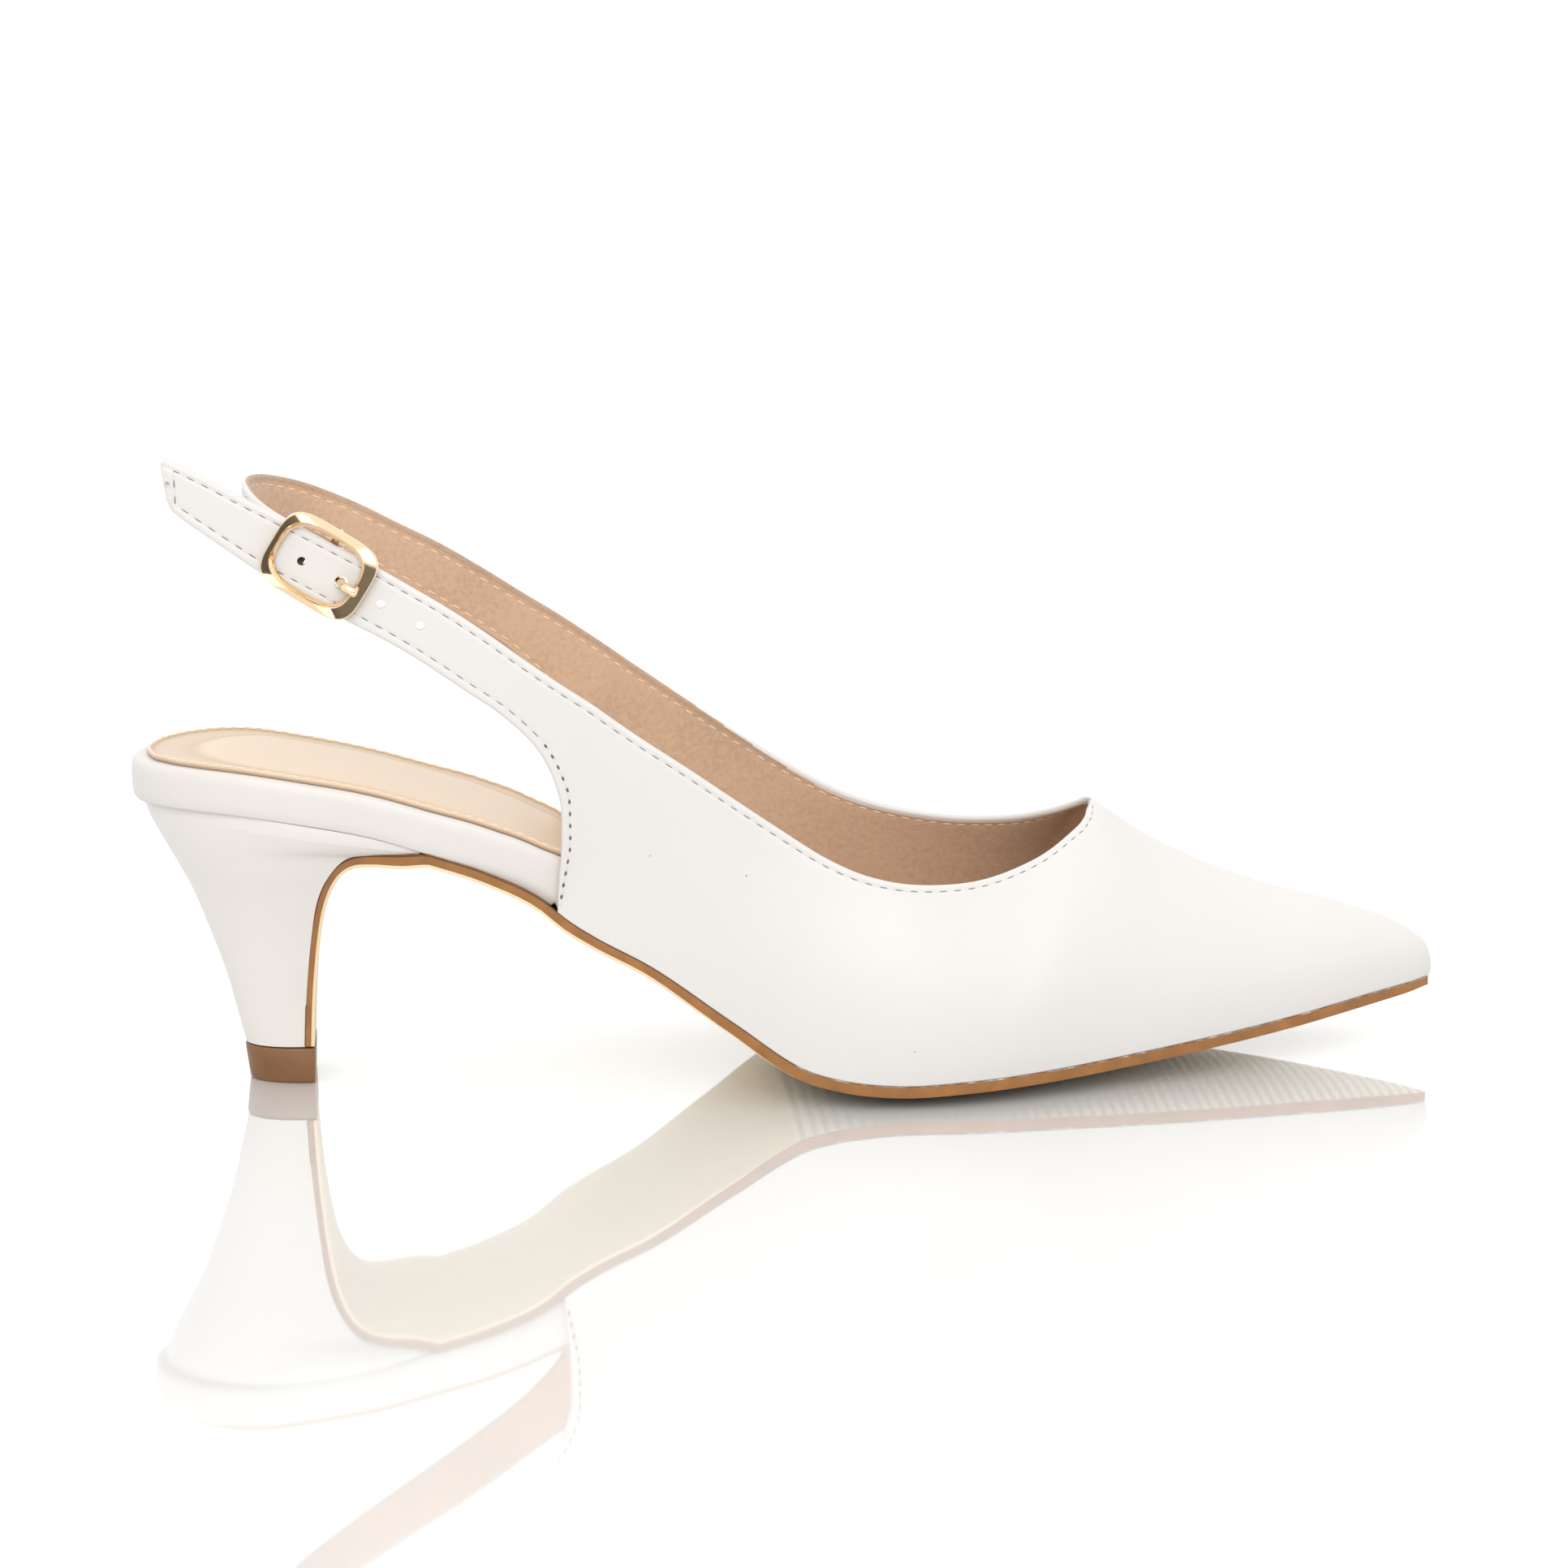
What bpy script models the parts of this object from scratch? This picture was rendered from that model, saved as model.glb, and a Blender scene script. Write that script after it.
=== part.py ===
"""Slingback court shoe for the right foot: pointed toe, covered heel, sling strap with a middle-bar buckle.

Lengths in the tables are millimetres. x runs from the back of the heel to the toe, y to the inner side, z up.
"""
from math import cos, pi, radians, sin

import bmesh
import bpy
import numpy as np

MM = 0.001
WALL = 1.4
GAP = 0.3
SOLE_THICK = 2.0
FLAP_THICK = 1.4
SOCK_THICK = 0.9
SOCK_INSET = 1.3
SOCK_CROWN = 0.9
SOCK_LEAST = 0.8
RIB_STEPS = 8
RIB_SPLITS = 2
RIB_FULL = 0.42
ACROSS = 11
AROUND = 24
WELD = 1e-7
# Places along the foot where the layers under it have a section
STATIONS = (5, 9, 14, 20, 28, 36, 45, 55, 60, 66, 73, 80, 87, 95, 102, 110, 117, 124, 131, 139, 147, 155, 163, 171, 180,
            190, 201, 211, 220, 229, 236)
OUTER, INNER = -1, 1

TOE_STATIONS = (249.3, 248.8, 247.6, 245, 241)
SEAT_STATIONS = (0.2, 0.8, 2.2)
SOLE_START = 55
FLAP_BEND_X, FLAP_BEND_LONG = 50.0, 14.0
FOOTBED_END = 242
SOCK_ENDS = (1.6, 2.4, 238)

# Bottom of the last: edge height, width to the outer and inner side, hollow of the middle below the edge
LAST_COLUMNS = ("x", "edge_z", "outer", "inner", "hollow")
LAST_BOTTOM = (
    (0.2, 55.3, 2.8, 2.8, 0.0),
    (1.5, 55.4, 7.6, 7.6, 0.0),
    (5.0, 55.5, 13.2, 13.2, 0.0),
    (12.0, 55.4, 19.0, 19.0, 0.0),
    (20.0, 54.9, 22.4, 22.4, 0.0),
    (30.0, 53.5, 24.2, 24.0, 0.0),
    (45.0, 50.6, 25.6, 25.0, 0.0),
    (55.0, 47.5, 26.4, 25.3, 0.0),
    (66.0, 43.8, 27.6, 25.4, 0.9),
    (80.0, 35.6, 29.2, 25.6, 2.0),
    (95.0, 26.8, 31.3, 26.6, 2.4),
    (110.0, 16.8, 34.2, 28.9, 2.6),
    (124.0, 7.6, 37.2, 32.2, 2.8),
    (131.0, 5.4, 38.4, 33.9, 2.9),
    (139.0, 4.5, 39.1, 35.4, 2.9),
    (154.0, 4.7, 38.4, 36.7, 2.8),
    (170.0, 6.0, 34.7, 35.5, 2.4),
    (186.0, 7.4, 29.5, 31.7, 1.9),
    (202.0, 8.7, 23.5, 26.3, 1.5),
    (220.0, 10.2, 15.5, 18.8, 1.0),
    (238.0, 11.9, 6.2, 9.5, 0.5),
    (245.0, 12.4, 2.4, 5.2, 0.2),
    (248.6, 12.6, -0.2, 2.4, 0.0),
    (249.3, 12.6, -0.9, 1.5, 0.0),
)

# Outsole behind the arch: under the lip of the heel, then down its front face
FLAP_COLUMNS = ("x", "z", "half")
FLAP = (
    (50.0, 46.9, 24.6),
    (45.0, 46.8, 23.2),
    (41.0, 46.1, 21.2),
    (38.0, 44.0, 18.4),
    (35.8, 40.4, 15.9),
    (34.2, 35.6, 13.4),
    (33.1, 29.5, 11.4),
    (32.2, 22.0, 9.5),
    (31.6, 15.0, 8.3),
    (31.2, 7.3, 7.3),
)

# Heel block from the top piece to the seat: rear point, front point, half width, fullness of the back
HEEL_COLUMNS = ("rear_x", "rear_z", "front_x", "front_z", "half", "full")
HEEL = (
    (19.5, 7.2, 30.9, 7.2, 7.2, 2.3),
    (17.9, 13.8, 31.2, 14.6, 8.1, 2.3),
    (16.2, 20.7, 31.8, 21.6, 9.3, 2.3),
    (13.7, 28.3, 32.7, 29.2, 11.2, 2.3),
    (10.5, 37.0, 34.0, 36.9, 13.8, 2.4),
    (7.9, 42.4, 36.3, 42.4, 16.6, 2.5),
    (5.6, 46.7, 40.0, 46.4, 19.6, 2.6),
    (3.9, 50.0, 45.5, 47.2, 22.2, 2.7),
    (2.7, 52.4, 51.0, 47.4, 24.1, 2.8),
    (1.9, 55.3, 53.5, 47.9, 25.0, 2.9),
)

# Wearing piece under the heel: height, rear, front, half width
TOP_COLUMNS = ("z", "rear_x", "front_x", "half")
TOP_PIECE = (
    (0.0, 20.3, 32.3, 6.8),
    (0.5, 20.1, 32.5, 7.1),
    (6.4, 19.4, 32.7, 7.6),
    (6.9, 19.6, 32.6, 7.4),
)

# Footbed thickness along the foot: tall where its edge shows, thin inside the upper
FOOTBED_COLUMNS = ("x", "thick", "inset")
FOOTBED = (
    (0.0, 7.4, 0.0),
    (60.0, 7.4, 0.3),
    (72.0, 7.2, 1.2),
    (84.0, 6.6, 2.1),
    (110.0, 4.2, 2.1),
    (140.0, 3.0, 2.1),
    (220.0, 3.0, 2.2),
    (250.0, 2.6, 2.6),
)

# Ribs over the toe: foot of the rib on the last, ridge point, facing (0 to the toe, 90 sideways), lean at the foot
VAMP_COLUMNS = ("low_x", "top_x", "top_z", "facing", "lean_low")
VAMP = (
    (249.0, 246.4, 21.2, 0.0, 20.0),
    (248.4, 245.8, 21.5, 34.0, 20.0),
    (247.0, 244.4, 22.4, 58.0, 19.0),
    (244.0, 241.0, 23.9, 74.0, 18.0),
    (237.5, 234.5, 26.2, 82.0, 16.0),
    (229.0, 226.2, 28.9, 87.0, 15.0),
    (219.5, 217.8, 31.4, 90.0, 13.0),
    (209.5, 208.8, 34.8, 90.0, 12.0),
    (199.5, 200.0, 38.7, 90.0, 12.0),
    (189.5, 191.2, 43.4, 90.0, 12.0),
    (178.5, 183.8, 49.4, 90.0, 12.0),
)
RIDGE_Y = 1.3
NOSE_FOOT_Y = 0.3

# Ribs behind the throat that stand on the last: foot, point on the top line, leans in degrees, fullness
SIDE_COLUMNS = ("low_x", "top_x", "top_y", "top_z", "lean_low", "lean_top", "full")
OUTER_SIDE = (
    (171.5, 180.6, 7.0, 49.5, 12.0, 74.0, 0.385),
    (165.5, 175.3, 15.4, 47.4, 12.0, 62.0, 0.375),
    (159.0, 167.4, 22.9, 43.7, 12.0, 48.0, 0.355),
    (151.5, 156.8, 29.1, 41.2, 11.0, 36.0, 0.355),
    (142.5, 145.3, 32.6, 41.3, 9.0, 25.0, 0.37),
    (132.5, 136.0, 33.5, 43.1, 7.0, 16.0, 0.39),
    (122.0, 127.8, 33.3, 46.7, 5.0, 10.0, 0.41),
    (110.5, 119.0, 32.8, 52.4, 5.0, 5.0, 0.42),
    (99.5, 110.0, 32.4, 58.6, 5.0, 2.0, 0.42),
    (88.5, 101.8, 32.1, 64.3, 4.0, 0.0, 0.42),
    (78.3, 95.0, 31.9, 68.9, 3.0, 0.0, 0.42),
)
INNER_SIDE = (
    (171.5, 180.8, 6.6, 48.6, 12.0, 74.0, 0.385),
    (165.5, 176.2, 12.9, 45.9, 12.0, 62.0, 0.375),
    (159.0, 169.0, 20.2, 43.3, 12.0, 48.0, 0.355),
    (151.5, 158.6, 26.4, 42.3, 11.0, 36.0, 0.355),
    (142.5, 147.6, 30.3, 43.5, 9.0, 25.0, 0.37),
    (132.5, 138.4, 32.0, 46.1, 7.0, 16.0, 0.39),
    (122.0, 130.0, 32.6, 50.2, 7.0, 10.0, 0.41),
    (110.5, 120.8, 32.8, 55.9, 8.0, 5.0, 0.42),
    (99.5, 111.6, 32.5, 62.0, 8.0, 2.0, 0.42),
    (90.5, 103.0, 32.0, 68.0, 7.0, 0.0, 0.42),
    (82.3, 96.4, 31.5, 72.7, 6.0, 0.0, 0.42),
)

# Ribs behind the rear edge: lower edge, upper edge, sideways place of both; straps have straight ribs
STRAP_COLUMNS = ("low_x", "low_y", "low_z", "top_x", "top_y", "top_z")
OUTER_STRAP = (
    (79.2, 30.1, 47.5, 90.0, 31.7, 72.4),
    (79.0, 30.8, 58.0, 85.0, 31.5, 76.1),
    (75.6, 31.0, 67.0, 79.5, 31.2, 79.8),
    (69.2, 30.9, 73.9, 73.2, 30.9, 84.3),
    (61.4, 30.6, 79.5, 66.2, 30.6, 89.5),
    (53.8, 30.2, 84.8, 59.0, 30.3, 94.4),
    (47.6, 29.9, 88.9, 52.6, 29.9, 98.3),
    (41.8, 29.7, 92.9, 46.6, 29.7, 101.9),
    (35.0, 29.7, 97.1, 39.5, 29.7, 105.9),
    (27.5, 29.7, 101.4, 31.9, 29.7, 110.1),
    (19.5, 29.6, 106.2, 23.7, 29.6, 114.6),
    (13.8, 29.4, 110.0, 16.5, 29.4, 118.6),
    (10.6, 29.3, 112.6, 9.5, 29.3, 121.6),
)
INNER_STRAP = (
    (83.2, 27.2, 46.5, 91.2, 31.0, 76.4),
    (83.0, 28.6, 57.0, 86.5, 30.5, 79.8),
    (79.5, 29.2, 67.4, 80.8, 29.9, 83.8),
    (72.0, 28.8, 76.0, 74.2, 29.1, 88.1),
    (63.0, 27.7, 82.6, 66.8, 28.0, 93.1),
    (54.5, 26.3, 88.2, 58.7, 26.7, 98.2),
    (46.6, 24.6, 93.0, 50.6, 25.1, 102.6),
    (39.0, 22.4, 97.4, 42.2, 23.0, 107.2),
    (31.5, 19.0, 101.6, 33.6, 19.6, 111.2),
    (26.1, 14.0, 103.9, 27.1, 14.4, 113.5),
    (23.2, 7.4, 104.8, 23.4, 7.6, 114.5),
    (22.1, -0.5, 104.8, 22.1, -0.5, 114.5),
    (22.5, -8.5, 104.2, 23.0, -8.5, 113.8),
    (23.8, -16.2, 103.1, 25.2, -16.2, 112.6),
    (26.0, -22.6, 101.9, 28.8, -22.6, 111.0),
)

# Buckle: middle of its frame, bars and bar sizes along the strap (a), across it (w) and outward (n)
BUCKLE_X, BUCKLE_Z = 37.0, 101.8
STRAP_SLOPE = radians(30.0)
STRAP_OUTER_Y = 29.7
BAR_RADIUS = 0.8
SLING_RADIUS = BAR_RADIUS + GAP + WALL
BAR_DEPTH = SLING_RADIUS + GAP + WALL
SLING_WIDE = 9.2
FOLD_LENGTH = 9.0
FOLD_LEAD = (7.5, 4.0)
FOLD_TURNS = 6
FRAME_LONG, FRAME_WIDE = 20.5, 15.5
FRAME_SQUARE = 4.2
FRAME_THICK = 1.8
FRAME_DIP = 1.4
FRONT_BAR, REAR_BAR, SIDE_BAR = 3.1, 2.0, 1.9
FRAME_N = BAR_DEPTH + GAP + 0.5 * FRAME_THICK
PRONG_RADIUS = 0.7
HOLE_RADIUS = 1.05
HOLE_PITCH = 8.05
HOLE_COUNT = 4
HOLES_BEHIND = 1
HOLE_W = -0.6
FRAME_W = 0.2
FRAME_STEPS = 48
WIRE_SIDES = 10
POST_BEND = 1.2
EYE_START, EYE_STEP = 170.0, 24.0

# Prong from its eye on the bar, up through the strap hole and over the front bar
PRONG_COLUMNS = ("a", "n")
PRONG = (
    (2.3, 0.8),
    (3.5, 1.7),
    (4.3, 2.9),
    (4.4, 4.6),
    (5.0, 6.1),
    (6.3, 7.1),
    (7.8, 7.3),
    (9.4, 7.3),
)
PRONG_HOLE_A = 4.4


def hermite(rows, params, at):
    """Smooth curve through the rows, which stand at the given parameters."""
    rows, params, at = np.asarray(rows, float), np.asarray(params, float), np.asarray(at, float)
    slopes = np.diff(rows, axis=0) / np.diff(params)[:, None]
    span = np.diff(params)[:, None]
    inside = (slopes[:-1] * span[1:] + slopes[1:] * span[:-1]) / (span[1:] + span[:-1])
    tangents = np.vstack([slopes[:1], inside, slopes[-1:]])
    k = np.clip(np.searchsorted(params, at, side="right") - 1, 0, len(params) - 2)
    h = (params[k + 1] - params[k])[:, None]
    t = (at - params[k])[:, None] / h
    return (
        (1 + 2 * t) * (1 - t) ** 2 * rows[k]
        + t * (1 - t) ** 2 * h * tangents[k]
        + t * t * (3 - 2 * t) * rows[k + 1]
        + t * t * (t - 1) * h * tangents[k + 1]
    )


def column(table, names, name, at):
    """One named column of a table, at the given places of its first column."""
    table = np.asarray(table)
    return hermite(table[:, [names.index(name)]], table[:, 0], np.atleast_1d(at))[:, 0]


def last(name, x):
    return column(LAST_BOTTOM, LAST_COLUMNS, name, x)


def bottom_z(x, y):
    """Height of the bottom of the last: the middle hangs below its edge."""
    x, y = np.atleast_1d(x), np.atleast_1d(y)
    half = np.where(y < 0, last("outer", x), last("inner", x))
    share = np.clip(np.abs(y) / np.maximum(half, 1.0), 0.0, 1.0)
    return last("edge_z", x) - last("hollow", x) * (1.0 - share**2)


def new_object(name, bm, color, roughness, metallic=0.0, smooth=True, closed=True):
    if closed:
        bmesh.ops.recalc_face_normals(bm, faces=bm.faces[:])
    for face in bm.faces:
        face.smooth = smooth
    mesh = bpy.data.meshes.new(name)
    bm.to_mesh(mesh)
    bm.free()
    obj = bpy.data.objects.new(name, mesh)
    bpy.context.scene.collection.objects.link(obj)
    material = bpy.data.materials.new(name + "_material")
    material.use_nodes = True
    shader = material.node_tree.nodes["Principled BSDF"]
    shader.inputs["Base Color"].default_value = (*color, 1.0)
    shader.inputs["Roughness"].default_value = roughness
    shader.inputs["Metallic"].default_value = metallic
    obj.data.materials.append(material)
    return obj


def sheet(points):
    """Grid of faces through an array of points, rows first."""
    rows, cols = points.shape[:2]
    bm = bmesh.new()
    bmesh.ops.create_grid(bm, x_segments=cols - 1, y_segments=rows - 1, size=1.0)
    bm.verts.ensure_lookup_table()
    for k, vert in enumerate(bm.verts):
        vert.co = points[k // cols, k % cols] * MM
    return bm


def loft(rings):
    """Closed skin round rings of points; each end is closed by a ladder of faces across the ring."""
    rings = np.asarray(rings)
    count = rings.shape[1]
    bm = sheet(np.concatenate([rings, rings[:, :1]], axis=1))
    bm.verts.ensure_lookup_table()
    for row in (0, len(rings) - 1):
        ring = [bm.verts[row * (count + 1) + k] for k in range(count)]
        for k in range(count // 2 - 1):
            bm.faces.new([ring[k], ring[k + 1], ring[count - 2 - k], ring[count - 1 - k]])
    bmesh.ops.remove_doubles(bm, verts=bm.verts[:], dist=WELD)
    return bm


def slab_ring(x, y, under, over):
    """Section of a slab: its lower line from the outer to the inner side, then its upper line back."""
    x = np.broadcast_to(x, y.shape)
    return np.vstack([np.stack([x, y, under], 1), np.stack([x, y, over], 1)[::-1]])


def across(x, inset):
    """Places across the last at x, an inset away from both edges."""
    low = -np.maximum(last("outer", x) - inset, SOCK_LEAST if inset > 0.0 else -np.inf)
    high = np.maximum(last("inner", x) - inset, SOCK_LEAST if inset > 0.0 else -np.inf)
    return low + (high - low) * np.linspace(0.0, 1.0, ACROSS)


def make_outsole():
    """Thin sheet from the toe to the lip of the heel and down its front face."""
    rings = []
    for x in TOE_STATIONS + tuple(x for x in STATIONS[::-1] if x >= SOLE_START):
        y = across(x, 0.0)
        top = bottom_z(np.full(ACROSS, x), y)
        slope = (last("edge_z", x + 0.5) - last("edge_z", x - 0.5))[0]
        rings.append(slab_ring(x, y, np.maximum(top - SOLE_THICK * np.sqrt(1.0 + slope**2), 0.0), top))
    flap = np.asarray(FLAP)
    path = np.vstack([[SOLE_START, last("edge_z", SOLE_START)[0]], flap[:, :2]])
    heading = np.gradient(path, axis=0)[1:]
    heading /= np.linalg.norm(heading, axis=1)[:, None]
    for (x, z, half), (dx, dz) in zip(flap, heading):
        y = half * np.linspace(-1.0, 1.0, ACROSS)
        thick = SOLE_THICK + (FLAP_THICK - SOLE_THICK) * min(1.0, (FLAP_BEND_X - x) / FLAP_BEND_LONG)
        ring = slab_ring(x, y, np.full(ACROSS, z), np.full(ACROSS, z))
        ring[:ACROSS, 0] -= dz * thick
        ring[:ACROSS, 2] += dx * thick
        rings.append(ring)
    return new_object("outsole", loft(rings), (0.45, 0.22, 0.09), 0.5)


def heel_ring(rear, front, half, full):
    """Section of the heel from its flat front round the back: rear and front are points (x, z)."""
    s = 1.0 - np.sin(0.5 * pi * np.linspace(0.0, 1.0, AROUND // 2)) ** 1.2
    y = half * np.sqrt(1.0 - (1.0 - s) ** full)
    x = rear[0] + (front[0] - rear[0]) * s
    z = rear[1] + (front[1] - rear[1]) * s
    return np.vstack([np.stack([x, -y, z], 1), np.stack([x, y, z], 1)[::-1]])


def make_heel():
    rings = [heel_ring(row[0:2], row[2:4], row[4], row[5]) for row in HEEL]
    rings[-1][:, 2] = last("edge_z", rings[-1][:, 0])
    return new_object("heel", loft(rings), (0.80, 0.78, 0.75), 0.35)


def make_top_piece():
    full = HEEL[0][HEEL_COLUMNS.index("full")]
    rings = [heel_ring((rear_x, z), (front_x, z), half, full) for z, rear_x, front_x, half in TOP_PIECE]
    return new_object("top_piece", loft(rings), (0.29, 0.15, 0.07), 0.5)


def footbed(name, x):
    return column(FOOTBED, FOOTBED_COLUMNS, name, x)


def footbed_top(x, y):
    return bottom_z(x, y) + GAP + footbed("thick", x)


def make_footbed():
    rings = []
    for x in SEAT_STATIONS + STATIONS + (FOOTBED_END,):
        y = across(x, footbed("inset", x))
        under = bottom_z(np.full(ACROSS, x), y) + GAP
        rings.append(slab_ring(x, y, under, footbed_top(np.full(ACROSS, x), y)))
    return new_object("footbed", loft(rings), (0.85, 0.83, 0.80), 0.35)


def make_sock():
    rings = []
    for x in SOCK_ENDS[:2] + STATIONS + SOCK_ENDS[2:]:
        y = across(x, footbed("inset", x) + SOCK_INSET)
        share = np.where(y < 0.0, y / y[0], y / y[-1])
        under = footbed_top(np.full(ACROSS, x), y) + GAP
        rings.append(slab_ring(x, y, under, under + SOCK_THICK + SOCK_CROWN * (1.0 - share**4)))
    return new_object("insole_sock", loft(rings), (0.85, 0.67, 0.50), 0.55)


def rib(low, top, facing, lean_low, lean_top, side, full=RIB_FULL):
    """Points from the foot of a rib to its top, bowed outward."""
    low, top = np.asarray(low, float), np.asarray(top, float)
    out = np.array([cos(radians(facing)), side * sin(radians(facing)), 0.0])
    rise = top - low - out * np.dot(top - low, out)
    rise /= np.linalg.norm(rise)
    reach = full * np.linalg.norm(top - low)
    first = low + reach * (cos(radians(lean_low)) * rise + sin(radians(lean_low)) * out)
    second = top + reach * (sin(radians(lean_top)) * out - cos(radians(lean_top)) * rise)
    t = np.linspace(0.0, 1.0, RIB_STEPS + 1)[:, None]
    return (1 - t) ** 3 * low + 3 * t * (1 - t) ** 2 * first + 3 * t * t * (1 - t) * second + t**3 * top


def buckle_point(a, w, n):
    """Point in the buckle's own directions: along the strap to the toe, up across it, outward from its bar."""
    x = BUCKLE_X + a * cos(STRAP_SLOPE) + w * sin(STRAP_SLOPE)
    z = BUCKLE_Z - a * sin(STRAP_SLOPE) + w * cos(STRAP_SLOPE)
    return np.array([x, -(STRAP_OUTER_Y - BAR_DEPTH) - n, z])


def fold_rows():
    """Sling end: along the outside of the middle bar, round it, and back on the inside."""
    places = [(-FOLD_LEAD[0], SLING_RADIUS - GAP), (-FOLD_LEAD[1], SLING_RADIUS)]
    for turn in np.linspace(0.0, pi, FOLD_TURNS):
        places.append((SLING_RADIUS * sin(turn), SLING_RADIUS * cos(turn)))
    places.append((-0.5 * FOLD_LENGTH, -SLING_RADIUS))
    places.append((-FOLD_LENGTH, -SLING_RADIUS))
    half = 0.5 * SLING_WIDE
    return [(*buckle_point(a, -half, n), *buckle_point(a, half, n)) for a, n in places]


def side_ribs(side, standing, strap):
    """Control ribs of one side from the nose to the strap end, each an array of points."""
    name = "outer" if side == OUTER else "inner"

    def foot(x):
        return x, side * last(name, x)[0], last("edge_z", x)[0] + GAP

    nose_x, top_x, top_z, facing, lean_low = VAMP[0]
    nose_foot = (nose_x, NOSE_FOOT_Y, last("edge_z", nose_x)[0] + GAP)
    ribs = [rib(nose_foot, (top_x, RIDGE_Y, top_z), facing, lean_low, 90.0, side)]
    for low_x, top_x, top_z, facing, lean_low in VAMP[1:]:
        ribs.append(rib(foot(low_x), (top_x, RIDGE_Y, top_z), facing, lean_low, 90.0, side))
    for low_x, top_x, top_y, top_z, lean_low, lean_top, full in standing:
        ribs.append(rib(foot(low_x), (top_x, side * top_y, top_z), 90.0, lean_low, lean_top, side, full))
    share = np.linspace(0.0, 1.0, RIB_STEPS + 1)[:, None]
    for row in strap:
        low, top = np.array(row[:3]), np.array(row[3:])
        ribs.append(low + (top - low) * share)
    return np.array(ribs)


def smooth_ribs(ribs, steps, turn=None):
    """More ribs between the control ribs; with a turn, the curve bends sharply at that rib."""
    ends = [0, len(ribs) - 1] if turn is None else [0, turn, len(ribs) - 1]
    out = []
    for first, final in zip(ends[:-1], ends[1:]):
        block = ribs[first:final + 1].reshape(final + 1 - first, -1)
        at = np.linspace(first, final, (final - first) * steps + 1)
        dense = hermite(block, np.arange(first, final + 1), at).reshape(-1, *ribs.shape[1:])
        out.append(dense if final == ends[-1] else dense[:-1])
    return np.concatenate(out)


def refine(ribs, throat, corner, steps):
    """Smooth surface whose top edge turns at the throat and whose lower edge turns at the rear corner."""
    share = np.linspace(0.0, 1.0, RIB_STEPS + 1)[None, :, None]
    even = smooth_ribs(ribs, steps)
    at_throat = smooth_ribs(ribs, steps, throat) - even
    at_corner = smooth_ribs(ribs, steps, corner) - even
    return even + at_throat * share**3 + at_corner * (1.0 - share) ** 3


def upper_sides(splits):
    """Rib arrays of both sides of the upper."""
    throat = len(VAMP) - 1
    corner = throat + len(OUTER_SIDE)
    flip = np.array([1.0, OUTER, 1.0, 1.0, OUTER, 1.0])
    outer_strap = [row for row in np.array(OUTER_STRAP) * flip]
    outer = side_ribs(OUTER, OUTER_SIDE, outer_strap)
    inner = side_ribs(INNER, INNER_SIDE, list(INNER_STRAP) + fold_rows())
    return refine(outer, throat, corner, splits), refine(inner, throat, corner, splits)


def make_upper():
    outer, inner = upper_sides(RIB_SPLITS)
    bm = sheet(outer)
    other = sheet(inner)
    bmesh.ops.reverse_faces(other, faces=other.faces[:])
    add_part(bm, other)
    bmesh.ops.remove_doubles(bm, verts=bm.verts[:], dist=WELD)
    obj = new_object("upper", bm, (0.86, 0.85, 0.83), 0.38, closed=False)
    solid = obj.modifiers.new("wall", "SOLIDIFY")
    solid.thickness = WALL * MM
    solid.offset = -1.0
    solid.use_even_offset = True
    boolean(obj, hole_cutter(), "DIFFERENCE")
    return obj


def add_part(bm, part):
    """Join one mesh into another."""
    carrier = bpy.data.meshes.new("carrier")
    part.to_mesh(carrier)
    part.free()
    bm.from_mesh(carrier)
    bpy.data.meshes.remove(carrier)


def tube(points, radius, sides=WIRE_SIDES):
    """Round rod along a path of points."""
    points = np.asarray(points, float)
    heading = np.gradient(points, axis=0)
    heading /= np.linalg.norm(heading, axis=1)[:, None]
    cross = np.cross(heading[0], (0.3, 0.5, 0.8))
    turn = np.arange(sides)[:, None] * 2.0 * pi / sides
    rings = []
    for point, ahead in zip(points, heading):
        cross = cross - ahead * np.dot(cross, ahead)
        cross /= np.linalg.norm(cross)
        rings.append(point + radius * (np.cos(turn) * cross + np.sin(turn) * np.cross(ahead, cross)))
    return loft(rings)


def boolean(obj, helper, operation):
    helper.hide_render = True
    helper.display_type = "WIRE"
    step = obj.modifiers.new(helper.name, "BOOLEAN")
    step.operation = operation
    step.solver = "EXACT"
    step.object = helper


def hole_cutter():
    """Holes along the strap end, and the slot in the sling's fold that lets the prong reach its bar."""
    bm = bmesh.new()
    for k in range(HOLE_COUNT):
        a = PRONG_HOLE_A + (k - HOLES_BEHIND) * HOLE_PITCH
        ends = [buckle_point(a, HOLE_W, BAR_DEPTH - WALL - 0.5 * GAP), buckle_point(a, HOLE_W, BAR_DEPTH + WALL)]
        add_part(bm, tube(ends, HOLE_RADIUS))
    reach = BAR_RADIUS + 2.0 * PRONG_RADIUS + 2.0 * GAP
    half = PRONG_RADIUS + GAP
    deep = SLING_RADIUS + 0.5 * GAP
    ring = [(HOLE_W - half, -deep), (HOLE_W + half, -deep), (HOLE_W + half, deep), (HOLE_W - half, deep)]
    add_part(bm, loft([[buckle_point(a, w, n) for w, n in ring] for a in (-reach, SLING_RADIUS + GAP)]))
    return new_object("hole_cutter", bm, (0.5, 0.5, 0.5), 0.5)


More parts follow.
